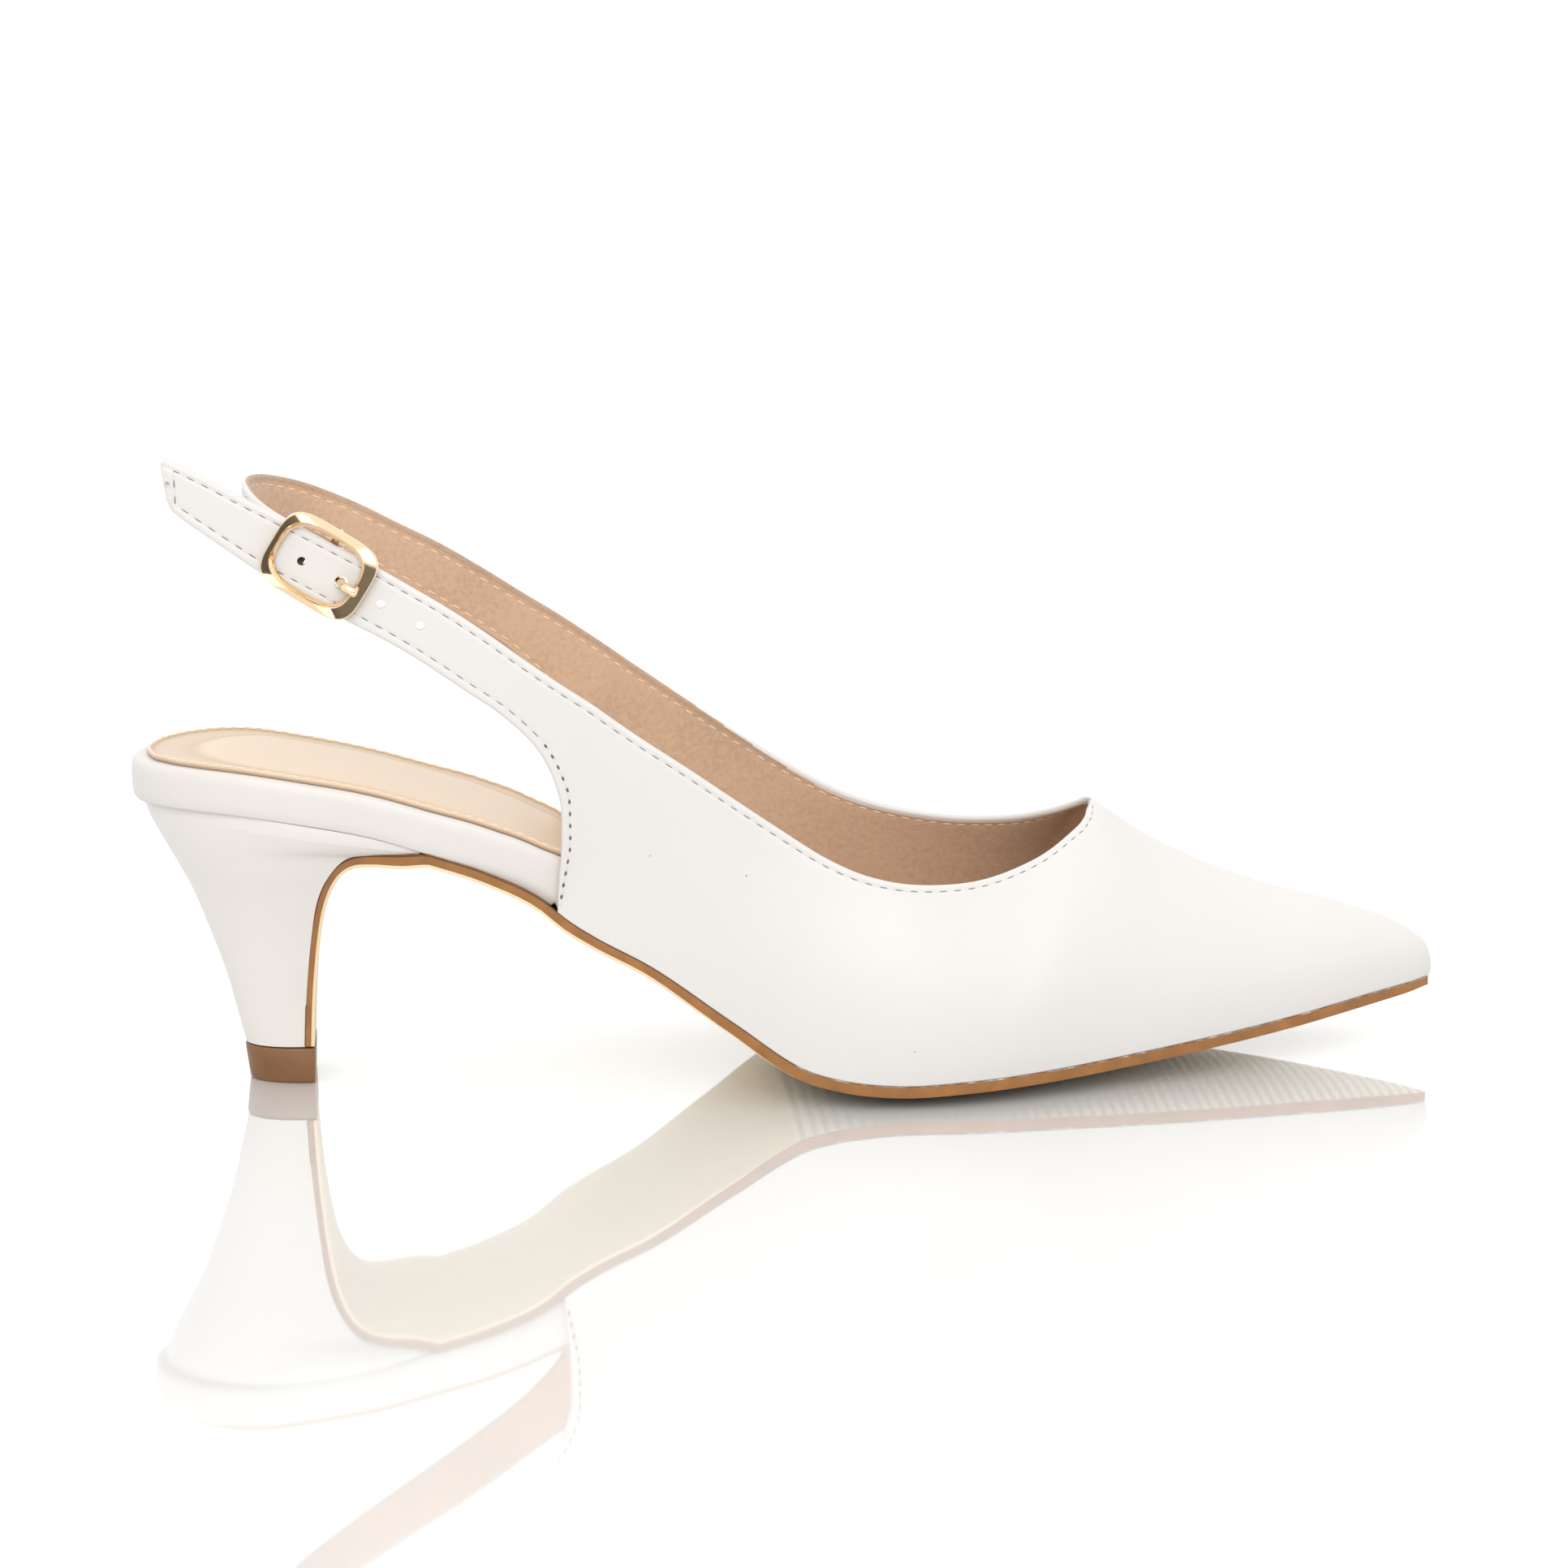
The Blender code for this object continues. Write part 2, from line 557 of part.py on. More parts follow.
def frame_path(turn):
    """Middle line of the frame and the width of its bar: rounded rectangle with bowed ends."""
    c, s = cos(turn), sin(turn)
    bar = FRONT_BAR if c > 0.0 else REAR_BAR
    end = 0.5 * (FRAME_LONG - bar)
    a = end * np.sign(c) * abs(c) ** (2.0 / FRAME_SQUARE)
    w = 0.5 * (FRAME_WIDE - SIDE_BAR) * np.sign(s) * abs(s) ** (2.0 / FRAME_SQUARE)
    n = FRAME_N - FRAME_DIP * (1.0 - (a / end) ** 2)
    return np.array([a, w, n]), SIDE_BAR + (bar - SIDE_BAR) * c * c


def make_buckle():
    """Frame as a swept ring, with the middle bar set back behind the strap on two posts."""
    rings = []
    turns = np.linspace(0.0, 2.0 * pi, FRAME_STEPS + 1)
    angle = np.linspace(0.0, 2.0 * pi, WIRE_SIDES + 1)
    for turn in turns:
        here, wide = frame_path(turn)
        ahead = frame_path(turn + 0.02)[0] - frame_path(turn - 0.02)[0]
        side = np.array([ahead[1], -ahead[0], 0.0])
        side /= np.linalg.norm(side)
        ring = here + 0.5 * wide * np.cos(angle)[:, None] * side
        ring[:, 2] += 0.5 * FRAME_THICK * np.sin(angle)
        rings.append([buckle_point(a, w + FRAME_W, n) for a, w, n in ring])
    bm = sheet(np.array(rings))
    bmesh.ops.remove_doubles(bm, verts=bm.verts[:], dist=WELD)
    frame = new_object("buckle_frame", bm, (0.80, 0.58, 0.28), 0.2, 1.0)
    post = 0.5 * (FRAME_WIDE - SIDE_BAR)
    near = POST_BEND * 0.3
    bend = [(post, FRAME_N - FRAME_DIP), (post, POST_BEND), (post - near, near), (post - POST_BEND, 0.0)]
    path = [(-w, n) for w, n in bend] + bend[::-1]
    bar = tube([buckle_point(0.0, w + FRAME_W, n) for w, n in path], BAR_RADIUS)
    boolean(frame, new_object("bar_helper", bar, (0.80, 0.58, 0.28), 0.2, 1.0), "UNION")
    return frame


def make_prong():
    eye = BAR_RADIUS + GAP + PRONG_RADIUS
    turns = np.radians(np.arange(EYE_START, 361.0, EYE_STEP))
    path = [(eye * cos(turn), eye * sin(turn)) for turn in turns] + list(PRONG)
    rod = tube([buckle_point(a, HOLE_W, n) for a, n in path], PRONG_RADIUS)
    return new_object("buckle_prong", rod, (0.80, 0.58, 0.28), 0.2, 1.0)


def seat_on_floor(objects):
    """Hang the pieces on one empty, so that the origin is below the middle of the whole shoe."""
    root = bpy.data.objects.new("shoe_root", None)
    bpy.context.scene.collection.objects.link(root)
    for obj in list(bpy.data.objects):
        if obj is not root:
            obj.parent = root
    bpy.context.view_layer.update()
    graph = bpy.context.evaluated_depsgraph_get()
    boxes = []
    for obj in objects:
        made = obj.evaluated_get(graph).to_mesh()
        points = np.empty(len(made.vertices) * 3, np.float32)
        made.vertices.foreach_get("co", points)
        boxes.append(points.reshape(-1, 3))
    every = np.concatenate(boxes)
    low, high = every.min(axis=0), every.max(axis=0)
    root.location = (-0.5 * (low[0] + high[0]), -0.5 * (low[1] + high[1]), -low[2])


for old in list(bpy.data.objects):
    bpy.data.objects.remove(old, do_unlink=True)

lower = [make_outsole(), make_heel(), make_top_piece(), make_footbed(), make_sock()]
seat_on_floor(lower + [make_upper(), make_buckle(), make_prong()])
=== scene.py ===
"""Looks of the slingback court shoe on a plain studio floor.

Lengths in the tables are millimetres. x runs from the back of the heel to the toe, y to the inner side, z up.
"""
from math import cos, pi, radians, sin

import bmesh
import bpy
import numpy as np
from mathutils import Matrix, Vector


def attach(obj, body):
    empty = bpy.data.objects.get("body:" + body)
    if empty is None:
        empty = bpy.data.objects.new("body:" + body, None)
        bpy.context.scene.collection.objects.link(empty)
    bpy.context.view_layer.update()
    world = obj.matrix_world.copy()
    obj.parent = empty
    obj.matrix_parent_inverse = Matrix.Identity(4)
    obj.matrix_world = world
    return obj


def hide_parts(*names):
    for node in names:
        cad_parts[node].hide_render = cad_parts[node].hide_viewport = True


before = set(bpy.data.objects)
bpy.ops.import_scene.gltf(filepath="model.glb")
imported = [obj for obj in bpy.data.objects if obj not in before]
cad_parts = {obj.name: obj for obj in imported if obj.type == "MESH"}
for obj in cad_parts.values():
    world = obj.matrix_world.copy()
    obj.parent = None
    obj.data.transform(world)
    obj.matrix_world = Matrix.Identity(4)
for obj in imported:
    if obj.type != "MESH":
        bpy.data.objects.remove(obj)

bl_info = {
    "name": "Slingback court shoe looks",
    "version": (1, 0, 0),
    "blender": (4, 5, 0),
    "location": "3D View > Sidebar > Shoe",
    "description": "Builds the finish of a slingback court shoe and its studio stage",
    "category": "Object",
}

MM = 0.001
GAP = 0.3
WELD, CUT_SLACK = 2e-6, 1e-8
OUTER, INNER = -1, 1
# The middle of the shoe's box, taken off every point
SHIFT = np.array([-124.95, 1.26, 0.0])
RIB_STEPS = 96
RIB_SPLITS = 8
# Distances in from a pulled-back edge at which the leather has a row of points, and those that carry stitches
EDGE_STEPS = np.array([0.0, 0.25, 0.5, 0.7, 0.95, 1.2, 1.5, 1.9, 2.5, 3.2])
TOP_STITCH, LOW_STITCH = 3, 4
GROOVE_WIDE = 0.32
LINING_STITCH = 5
LEAST_SLANT, RIB_SHARE = 0.4, 0.7
REAR_STITCH_RIBS = 3
# The strap's lower edge stands further below its stitches behind the buckle
BUCKLE_RIBS, BUCKLE_EDGE, BUCKLE_EDGE_ROWS = 9, 0.55, 11.0
BEAD_ROWS, BEAD_SIDES = 7, 8
MIDDLE_STEPS = 16
ROLL_STEPS = 8
EDGE_RAMP_ROWS = 6
THROAT_SOFT_ROWS, THROAT_SOFT_PASSES, THROAT_SOFT_POWER = 14.0, 60, 4
# How fast a bend of the top edge or of the foot dies out along a rib
TOP_TURN_POWER, FOOT_POWER = 6, 3
TAIL_SHORT = 0.07
TAIL_ROUND, TAIL_ROUND_ROWS = 1.1, 3
# Ribs behind the throat up to which the leather is turned over the lining, and how many columns show inside
RIM_RIBS, RIM_TAPER_ROWS, TURNED_COLUMNS = 8, 5, 2
# Tone of the lining along its folded edge: painted shade
LINING_EDGE_SHADE = 0.8
# Stitches: how far a thread gives way to a needle mark of painted shade, widths as shares of the thread,
# heights
THREAD_HIGH, MARK_BITE, MARK_WIDE, MARK_HIGH = 0.5, 0.75, 0.8, 0.16
REAR_THREAD_START, REAR_DOT_START, REAR_BITE, DOT_WIDE, DOT_HIGH = 0.8, 0.3, 0.9, 0.55, 0.3
INSIDE_LONG, INSIDE_WIDE, INSIDE_HIGH = 0.72, 1.3, 1.1

# Bottom of the last: edge height, width to the outer and inner side, hollow of the middle below the edge
LAST_COLUMNS = ("x", "edge_z", "outer", "inner", "hollow")
LAST_BOTTOM = (
    (0.2, 55.3, 2.8, 2.8, 0.0),
    (1.5, 55.4, 7.6, 7.6, 0.0),
    (5.0, 55.5, 13.2, 13.2, 0.0),
    (12.0, 55.4, 19.0, 19.0, 0.0),
    (20.0, 54.9, 22.4, 22.4, 0.0),
    (30.0, 53.5, 24.2, 24.0, 0.0),
    (45.0, 50.6, 25.6, 25.0, 0.0),
    (55.0, 47.5, 26.4, 25.3, 0.0),
    (66.0, 43.8, 27.6, 25.4, 0.9),
    (76.0, 38.7, 28.7, 25.5, 1.7),
    (80.5, 35.0, 29.3, 25.6, 2.0),
    (85.0, 32.1, 29.8, 25.8, 2.2),
    (95.0, 26.7, 31.3, 26.6, 2.4),
    (110.0, 16.3, 34.2, 28.9, 2.6),
    (124.0, 7.2, 37.2, 32.2, 2.8),
    (131.0, 5.4, 38.4, 33.9, 2.9),
    (139.0, 4.5, 39.1, 35.4, 2.9),
    (154.0, 4.7, 38.4, 36.7, 2.8),
    (170.0, 5.5, 34.7, 35.5, 2.4),
    (186.0, 6.7, 29.5, 31.7, 1.9),
    (202.0, 8.0, 23.5, 26.3, 1.5),
    (220.0, 9.6, 15.5, 18.8, 1.0),
    (238.0, 11.5, 6.2, 9.5, 0.5),
    (245.0, 12.1, 2.4, 5.2, 0.2),
    (248.6, 12.4, -0.2, 2.4, 0.0),
    (249.3, 12.4, -0.9, 1.5, 0.0),
)

# Outsole behind the arch, under the lip of the heel, then down its front face: x, z, half width
FLAP = (
    (50.0, 46.9, 24.6),
    (45.0, 46.8, 23.2),
    (41.0, 46.1, 21.2),
    (38.0, 44.0, 19.4),
    (35.8, 40.4, 17.4),
    (34.2, 35.6, 15.0),
    (33.1, 29.5, 12.5),
    (32.2, 22.0, 10.2),
    (31.6, 15.0, 8.5),
    (31.2, 7.3, 7.3),
)
SOLE_START, SOLE_END = 55.0, 249.3
SOLE_THICK, FLAP_THICK = 2.0, 1.4
FLAP_BEND_X, FLAP_BEND_LONG = 50.0, 14.0
SOLE_STEPS, SOLE_ACROSS, FLAP_SPLITS = 150, 31, 4
# How close the sole is pressed on, and the pale band along its lower edge: height and slope inward
SOLE_SEAT, FLAP_SEAT = 0.25, 0.5
SOLE_TIP_THIN, SOLE_TIP_LONG = 0.5, 16.0
SOLE_BAND, SOLE_EASE, EASE_MOST = 0.65, 0.15, 0.3
BAND_START_X, BAND_TAPER, BAND_LEAST = 122.0, 26.0, 0.06
# Line of glue along the top of the sole's edge
GLUE_WIDE = 0.22
# Heights between which painted shade darkens the tread towards the ground, and the tone of the lowest part
GROUND_SHADE_LOW, GROUND_SHADE_HIGH, GROUND_SHADE_TONE = 0.3, 4.0, 0.12
# Waves of the ribbed tread, as the scale of its texture
TREAD_RIBS = 143.0

# Heel block from the top piece to the seat: rear point, front point, half width, fullness of the back
HEEL_COLUMNS = ("rear_x", "rear_z", "front_x", "front_z", "half", "full")
HEEL = (
    (19.5, 7.2, 30.9, 7.2, 7.2, 2.3),
    (17.9, 13.8, 31.2, 14.6, 8.4, 2.3),
    (16.2, 20.7, 31.8, 21.6, 10.2, 2.3),
    (13.7, 28.3, 32.7, 29.2, 12.6, 2.3),
    (10.5, 37.0, 34.0, 36.9, 15.9, 2.4),
    (7.9, 42.4, 36.3, 42.4, 18.8, 2.5),
    (5.6, 46.7, 40.0, 46.4, 21.1, 2.6),
    (3.9, 50.0, 45.5, 47.2, 22.8, 2.7),
    (2.7, 52.4, 51.0, 47.4, 24.0, 2.8),
    (1.9, 55.3, 53.5, 47.9, 25.0, 2.9),
)
HEEL_SPLITS, HEEL_AROUND, HEEL_SPREAD = 8, 72, 1.2
HEEL_SEAT = 0.18

# Wearing piece under the heel: height, rear x, front x, half width
TOP_PIECE = (
    (0.0, 20.5, 32.1, 6.6),
    (0.15, 20.2, 32.4, 6.95),
    (0.5, 20.1, 32.5, 7.1),
    (3.5, 19.7, 32.6, 7.4),
    (6.5, 19.35, 32.7, 7.65),
    (6.8, 19.45, 32.6, 7.55),
    (6.9, 19.7, 32.4, 7.3),
)

# Footbed along the foot: thickness, how much higher its outer edge stands, way in from the last's edge
FOOTBED_COLUMNS = ("x", "thick", "tilt", "inset")
FOOTBED = (
    (0.0, 7.6, 0.0, 0.0),
    (20.0, 7.7, 0.1, 0.1),
    (46.0, 7.15, 0.7, 0.2),
    (60.0, 7.45, 0.75, 0.3),
    (70.0, 8.1, 0.7, 1.0),
    (76.0, 8.9, 0.75, 1.5),
    (80.0, 10.4, 0.85, 1.85),
    (84.0, 10.5, 0.8, 2.1),
    (95.0, 8.6, 0.4, 2.1),
    (110.0, 5.4, 0.0, 2.1),
    (140.0, 3.0, 0.0, 2.1),
    (220.0, 3.0, 0.0, 2.2),
    (250.0, 2.6, 0.0, 2.6),
)
FOOTBED_END = 242.0
SEAT_BACK = (-0.1, 0.0)
SEAT_REAR_X, SEAT_ROUND_X = 0.2, 24.0
LOOP_STEPS, LOOP_PASSES, OUTLINE_STEPS = 720, 6, 400
SPINE_SHORT = 3.0

# Edge of the footbed: way in from its outline, share of its thickness, added height
RAND = (
    (4.0, 0.0, 0.0),
    (0.9, 0.0, -0.1),
    (0.3, 0.0, -0.02),
    (0.05, 0.0, 0.35),
    (-0.12, 0.25, 0.1),
    (-0.18, 0.5, 0.0),
    (-0.12, 0.75, -0.2),
    (0.0, 1.0, -1.1),
    (0.22, 1.0, -0.55),
    (0.6, 1.0, -0.18),
    (1.1, 1.0, -0.03),
    (1.7, 1.0, 0.0),
    (6.0, 1.0, 0.0),
)

# Notch under the edge of the footbed where the quarter ends
NOTCH_X, NOTCH_LONG, NOTCH_DEEP = 77.9, 0.45, 1.2

# Sock: way in from the outline, height over the footbed and tone (0 dark, 1 light); the tone paints shade at
# the rim's foot, behind its crest and in the crease, and highlight on the crest and the pad's edge, over a
# darker border
SOCK_EDGE = (
    (1.8, 0.04, 0.0),
    (1.3, 0.05, 0.0),
    (1.14, 0.2, 0.0),
    (1.1, 0.5, 0.05),
    (1.16, 0.85, 0.45),
    (1.32, 1.1, 0.8),
    (1.6, 1.18, 0.7),
    (1.9, 1.02, 0.2),
    (2.2, 0.78, 0.1),
    (2.6, 0.62, 0.3),
    (3.2, 0.55, 0.44),
    (4.0, 0.5, 0.42),
    (4.8, 0.47, 0.38),
    (5.4, 0.46, 0.3),
    (5.9, 0.47, 0.24),
    (6.4, 0.54, 0.4),
    (7.0, 0.72, 0.64),
    (7.7, 0.88, 0.7),
    (8.5, 1.02, 0.64),
    (9.6, 1.1, 0.6),
)
# Stitches run on the rim's crest along the outer side and behind it along the inner side
SOCK_OUTER_ROW, SOCK_INNER_ROW, SOCK_SEAM_TURN = 5, 7, 20.0
# Rim of the sock, how much wider its border is at the heel, and how far it stands back there
SOCK_BORDER, SOCK_HEEL_BORDER, SOCK_HEEL_BACK = 3.2, 1.3, 1.7
SOCK_PITCH, SOCK_LONG, SOCK_WIDE, SOCK_HIGH = 2.5, 0.72, 1.2, 0.8
SOCK_UNDER = 0.03
# Padded middle: share of the way to the spine, height over the footbed
SOCK_MIDDLE = ((0.25, 1.16), (0.5, 1.19), (0.75, 1.2), (1.0, 1.2))

# Ribs over the toe: foot x, ridge x and z, facing (0 to the toe, 90 sideways), lean at the foot, fullness
VAMP = (
    (249.2, 246.3, 21.1, 0.0, 34.0, 0.29),
    (248.6, 245.7, 21.5, 34.0, 31.0, 0.30),
    (247.1, 244.3, 22.6, 58.0, 26.0, 0.33),
    (244.0, 241.0, 24.5, 74.0, 20.0, 0.38),
    (237.5, 234.5, 26.9, 82.0, 16.0, 0.41),
    (229.0, 226.2, 29.4, 87.0, 15.0, 0.42),
    (219.5, 217.8, 31.7, 90.0, 13.0, 0.42),
    (209.5, 208.8, 34.8, 90.0, 12.0, 0.42),
    (199.5, 200.0, 38.7, 90.0, 12.0, 0.42),
    (189.5, 191.2, 43.4, 90.0, 12.0, 0.42),
    (178.5, 182.4, 49.9, 90.0, 12.0, 0.42),
)
RIDGE_Y = 1.3
NOSE_FOOT_Y = 0.3

# Ribs behind the throat that stand on the last: foot x, top line x, y, z, leans at foot and top, fullness
OUTER_SIDE = (
    (171.5, 180.7, 7.3, 49.3, 12.0, 74.0, 0.385),
    (165.5, 176.1, 15.4, 47.3, 12.0, 62.0, 0.375),
    (159.0, 167.9, 22.9, 43.7, 12.0, 48.0, 0.355),
    (151.5, 156.8, 29.1, 41.2, 11.0, 36.0, 0.355),
    (142.5, 145.3, 32.6, 41.3, 9.0, 25.0, 0.37),
    (132.5, 136.0, 33.5, 43.1, 7.0, 16.0, 0.39),
    (122.0, 127.8, 33.3, 46.7, 5.0, 10.0, 0.41),
    (110.5, 119.0, 32.8, 52.4, 5.0, 5.0, 0.42),
    (99.5, 110.0, 32.4, 58.6, 5.0, 2.0, 0.42),
    (88.5, 101.8, 32.1, 64.3, 4.0, 0.0, 0.42),
    (78.3, 95.0, 31.9, 68.9, 3.0, 0.0, 0.42),
)
INNER_SIDE = (
    (171.5, 180.8, 6.6, 48.6, 12.0, 74.0, 0.385),
    (165.5, 176.2, 12.9, 45.9, 12.0, 62.0, 0.375),
    (159.0, 169.0, 20.2, 43.3, 12.0, 48.0, 0.355),
    (151.5, 158.6, 26.4, 42.3, 11.0, 36.0, 0.355),
    (142.5, 147.6, 30.3, 43.5, 9.0, 25.0, 0.37),
    (132.5, 138.4, 32.0, 46.1, 7.0, 16.0, 0.39),
    (122.0, 130.0, 32.6, 50.2, 7.0, 10.0, 0.41),
    (110.5, 120.8, 32.8, 55.9, 8.0, 5.0, 0.42),
    (99.5, 111.6, 32.5, 62.0, 8.0, 2.0, 0.42),
    (90.5, 103.0, 32.0, 68.0, 7.0, 0.0, 0.42),
    (82.3, 96.4, 31.5, 72.7, 6.0, 0.0, 0.42),
)

# Straight ribs of the straps: x, y, z on the lower edge, then on the upper edge
OUTER_STRAP = (
    (79.2, 30.1, 47.5, 90.0, 31.7, 72.4),
    (79.0, 30.8, 58.0, 85.0, 31.5, 76.1),
    (75.6, 31.0, 67.0, 79.5, 31.2, 79.8),
    (69.2, 30.9, 73.9, 73.2, 30.9, 84.3),
    (61.4, 30.6, 79.5, 66.2, 30.6, 89.5),
    (53.8, 30.2, 84.8, 59.0, 30.3, 94.4),
    (47.6, 29.9, 88.6, 52.6, 29.9, 98.3),
    (41.8, 29.7, 91.7, 46.6, 29.7, 101.9),
    (35.0, 29.7, 95.5, 39.5, 29.7, 105.9),
    (27.5, 29.7, 100.1, 31.9, 29.7, 110.1),
    (19.5, 29.6, 105.8, 23.7, 29.6, 114.6),
    (13.8, 29.4, 110.0, 16.5, 29.4, 118.6),
    (10.6, 29.3, 112.8, 9.0, 29.3, 122.3),
)
INNER_STRAP = (
    (83.2, 27.2, 46.5, 91.2, 31.0, 76.4),
    (83.0, 28.6, 57.0, 86.5, 30.5, 79.8),
    (79.5, 29.2, 67.4, 80.8, 29.9, 83.8),
    (72.0, 28.8, 76.0, 74.2, 29.1, 88.1),
    (63.0, 27.7, 82.6, 66.8, 28.0, 93.1),
    (54.5, 26.3, 88.2, 58.7, 26.7, 98.2),
    (46.6, 24.6, 93.0, 50.6, 25.1, 102.6),
    (39.0, 22.4, 97.4, 42.2, 23.0, 107.2),
    (31.5, 19.0, 101.6, 33.6, 19.6, 111.2),
    (26.1, 14.0, 103.9, 27.1, 14.4, 113.5),
    (23.2, 7.4, 104.8, 23.4, 7.6, 114.5),
    (22.1, -0.5, 104.8, 22.1, -0.5, 114.5),
    (22.5, -8.5, 104.2, 23.0, -8.5, 113.8),
    (23.8, -16.2, 103.1, 25.2, -16.2, 112.6),
    (26.0, -22.6, 101.9, 28.8, -22.6, 111.0),
)

# Soft creases in the outer quarter: x and z of the middle, direction, half length, half width, depth
CREASES = (
    (121.0, 50.0, 20.0, 7.0, 1.1, 0.10),
    (126.0, 46.8, 12.0, 8.0, 1.3, 0.09),
    (116.5, 46.0, 28.0, 6.0, 1.2, 0.07),
)

# Small scuffs on the outer quarter: x, z, length and width
SCUFFS = ((95.8, 47.4, 0.35, 0.2), (112.6, 43.6, 0.4, 0.32), (143.3, 11.8, 0.5, 0.16))
SCUFF_MOST, SCUFF_HIGH = 0.9, 0.06

# Buckle: middle of its frame, bars and bar sizes along the strap (a), across it (w) and outward (n)
BUCKLE_X, BUCKLE_Z = 37.0, 101.8
STRAP_SLOPE = radians(30.0)
STRAP_OUTER_Y = 29.7
WALL = 1.4
BAR_RADIUS = 0.8
SLING_RADIUS = BAR_RADIUS + GAP + WALL
BAR_DEPTH = SLING_RADIUS + GAP + WALL
SLING_WIDE = 9.2
FOLD_LENGTH = 9.0
FOLD_LEAD = (7.5, 4.0)
FOLD_TURNS = 6
# Outside of the frame, inner edge of its face, opening: reach to the front, to the rear, sideways, squareness
FRAME_OUTER = (9.7, 9.7, 7.45, 4.3)
FRAME_FACE = (7.5, 8.75, 6.3, 3.2)
FRAME_OPENING = (7.15, 7.9, 5.6, 3.1)
# Section of the frame: shares of the three outlines, height in thicknesses, share of the lean
FRAME_SECTION = (
    (1.0, 0.0, 0.0, -0.35, 0.2),
    (1.0, 0.0, 0.0, 0.2, 0.9),
    (0.94, 0.06, 0.0, 0.42, 1.0),
    (0.86, 0.14, 0.0, 0.5, 0.9),
    (0.45, 0.55, 0.0, 0.5, 0.4),
    (0.02, 0.98, 0.0, 0.5, 0.0),
    (0.0, 0.92, 0.08, 0.45, 0.0),
    (0.0, 0.5, 0.5, 0.25, 0.0),
    (0.0, 0.05, 0.95, 0.0, 0.0),
    (0.0, 0.0, 1.0, -0.35, 0.0),
    (0.2, 0.0, 0.8, -0.5, 0.0),
    (0.8, 0.0, 0.2, -0.5, 0.0),
)
FRAME_LEAN, TOP_LEAN_POWER, LOW_LEAN_POWER = 0.6, 9, 20
FRAME_TURN = radians(2.2)
FRAME_A = -0.52
FRAME_THICK = 1.8
FRAME_DIP = 0.35
FRAME_N = BAR_DEPTH + GAP + 0.5 * FRAME_THICK
FRAME_W = 0.29
FRAME_STEPS, WIRE_SIDES = 160, 20
# Any way that no rod runs along, from which the rings of a rod start
ROD_SIDE = (0.3, 0.5, 0.8)
PRONG_RADIUS = 0.85
PRONG_HOLE_A = 4.4
HOLE_RADIUS, WORN_HOLE_RADIUS = 0.8, 1.2
HOLE_PITCH = 8.05
HOLE_COUNT, HOLES_BEHIND, HOLE_CUTS = 4, 1, 14
HOLE_W = -0.6
# Faces that a hole or the slot may cut: reach in radii, depth in walls, reach round the middle bar
HOLE_REACH, HOLE_DEEP, FOLD_REACH = 2.4, 2.0, 8.0
POST_BEND, POST_NEAR = 1.2, 0.3
EYE_START, EYE_STOP, EYE_STEP = 170.0, 361.0, 12.0
# Prong from its eye to its tip, along the strap and outward
PRONG = (
    (2.3, 0.8),
    (3.5, 1.7),
    (4.2, 2.9),
    (4.4, 4.6),
    (4.75, 6.0),
    (5.3, 6.9),
    (6.2, 7.25),
    (7.2, 7.3),
)
PRONG_STEPS = 33
# Rounded tip: way past the end, share of the radius
PRONG_TIP = ((0.3, 0.85), (0.45, 0.5))


def hermite(rows, params, at):
    """Smooth curve through the rows, which stand at the given parameters."""
    rows, params, at = np.asarray(rows, float), np.asarray(params, float), np.asarray(at, float)
    slopes = np.diff(rows, axis=0) / np.diff(params)[:, None]
    span = np.diff(params)[:, None]
    inside = (slopes[:-1] * span[1:] + slopes[1:] * span[:-1]) / (span[1:] + span[:-1])
    tangents = np.vstack([slopes[:1], inside, slopes[-1:]])
    k = np.clip(np.searchsorted(params, at, side="right") - 1, 0, len(params) - 2)
    h = (params[k + 1] - params[k])[:, None]
    t = (at - params[k])[:, None] / h
    return (
        (1 + 2 * t) * (1 - t) ** 2 * rows[k]
        + t * (1 - t) ** 2 * h * tangents[k]
        + t * t * (3 - 2 * t) * rows[k + 1]
        + t * t * (t - 1) * h * tangents[k + 1]
    )


def column(table, names, name, at):
    """One named column of a table, at the given places of its first column."""
    table = np.asarray(table)
    return hermite(table[:, [names.index(name)]], table[:, 0], np.atleast_1d(at))[:, 0]


def last(name, x):
    return column(LAST_BOTTOM, LAST_COLUMNS, name, x)


def footbed(name, x):
    return column(FOOTBED, FOOTBED_COLUMNS, name, x)


def bottom_z(x, y):
    """Height of the bottom of the last: the middle hangs below its edge."""
    x, y = np.atleast_1d(x), np.atleast_1d(y)
    half = np.where(y < 0, last("outer", x), last("inner", x))
    share = np.clip(np.abs(y) / np.maximum(half, 1.0), 0.0, 1.0)
    return last("edge_z", x) - last("hollow", x) * (1.0 - share**2)


def unit(vectors):
    return vectors / np.maximum(np.linalg.norm(vectors, axis=-1, keepdims=True), 1e-9)


def run_along(points):
    """Way along a line to each of its points."""
    return np.concatenate([[0.0], np.cumsum(np.linalg.norm(np.diff(points, axis=0), axis=1))])


def sample(values, run, at):
    """Values along a line, read at other places of its run."""
    return np.stack([np.interp(at, run, part) for part in values.T], -1)


def rib(low, top, facing, lean_low, lean_top, side, full):
    """Points from the foot of a rib to its top, bowed outward."""
    low, top = np.asarray(low, float), np.asarray(top, float)
    out = np.array([cos(radians(facing)), side * sin(radians(facing)), 0.0])
    rise = unit(top - low - out * np.dot(top - low, out))
    reach = full * np.linalg.norm(top - low)
    first = low + reach * (cos(radians(lean_low)) * rise + sin(radians(lean_low)) * out)
    second = top + reach * (sin(radians(lean_top)) * out - cos(radians(lean_top)) * rise)
    t = np.linspace(0.0, 1.0, RIB_STEPS + 1)[:, None]
    return (1 - t) ** 3 * low + 3 * t * (1 - t) ** 2 * first + 3 * t * t * (1 - t) * second + t**3 * top


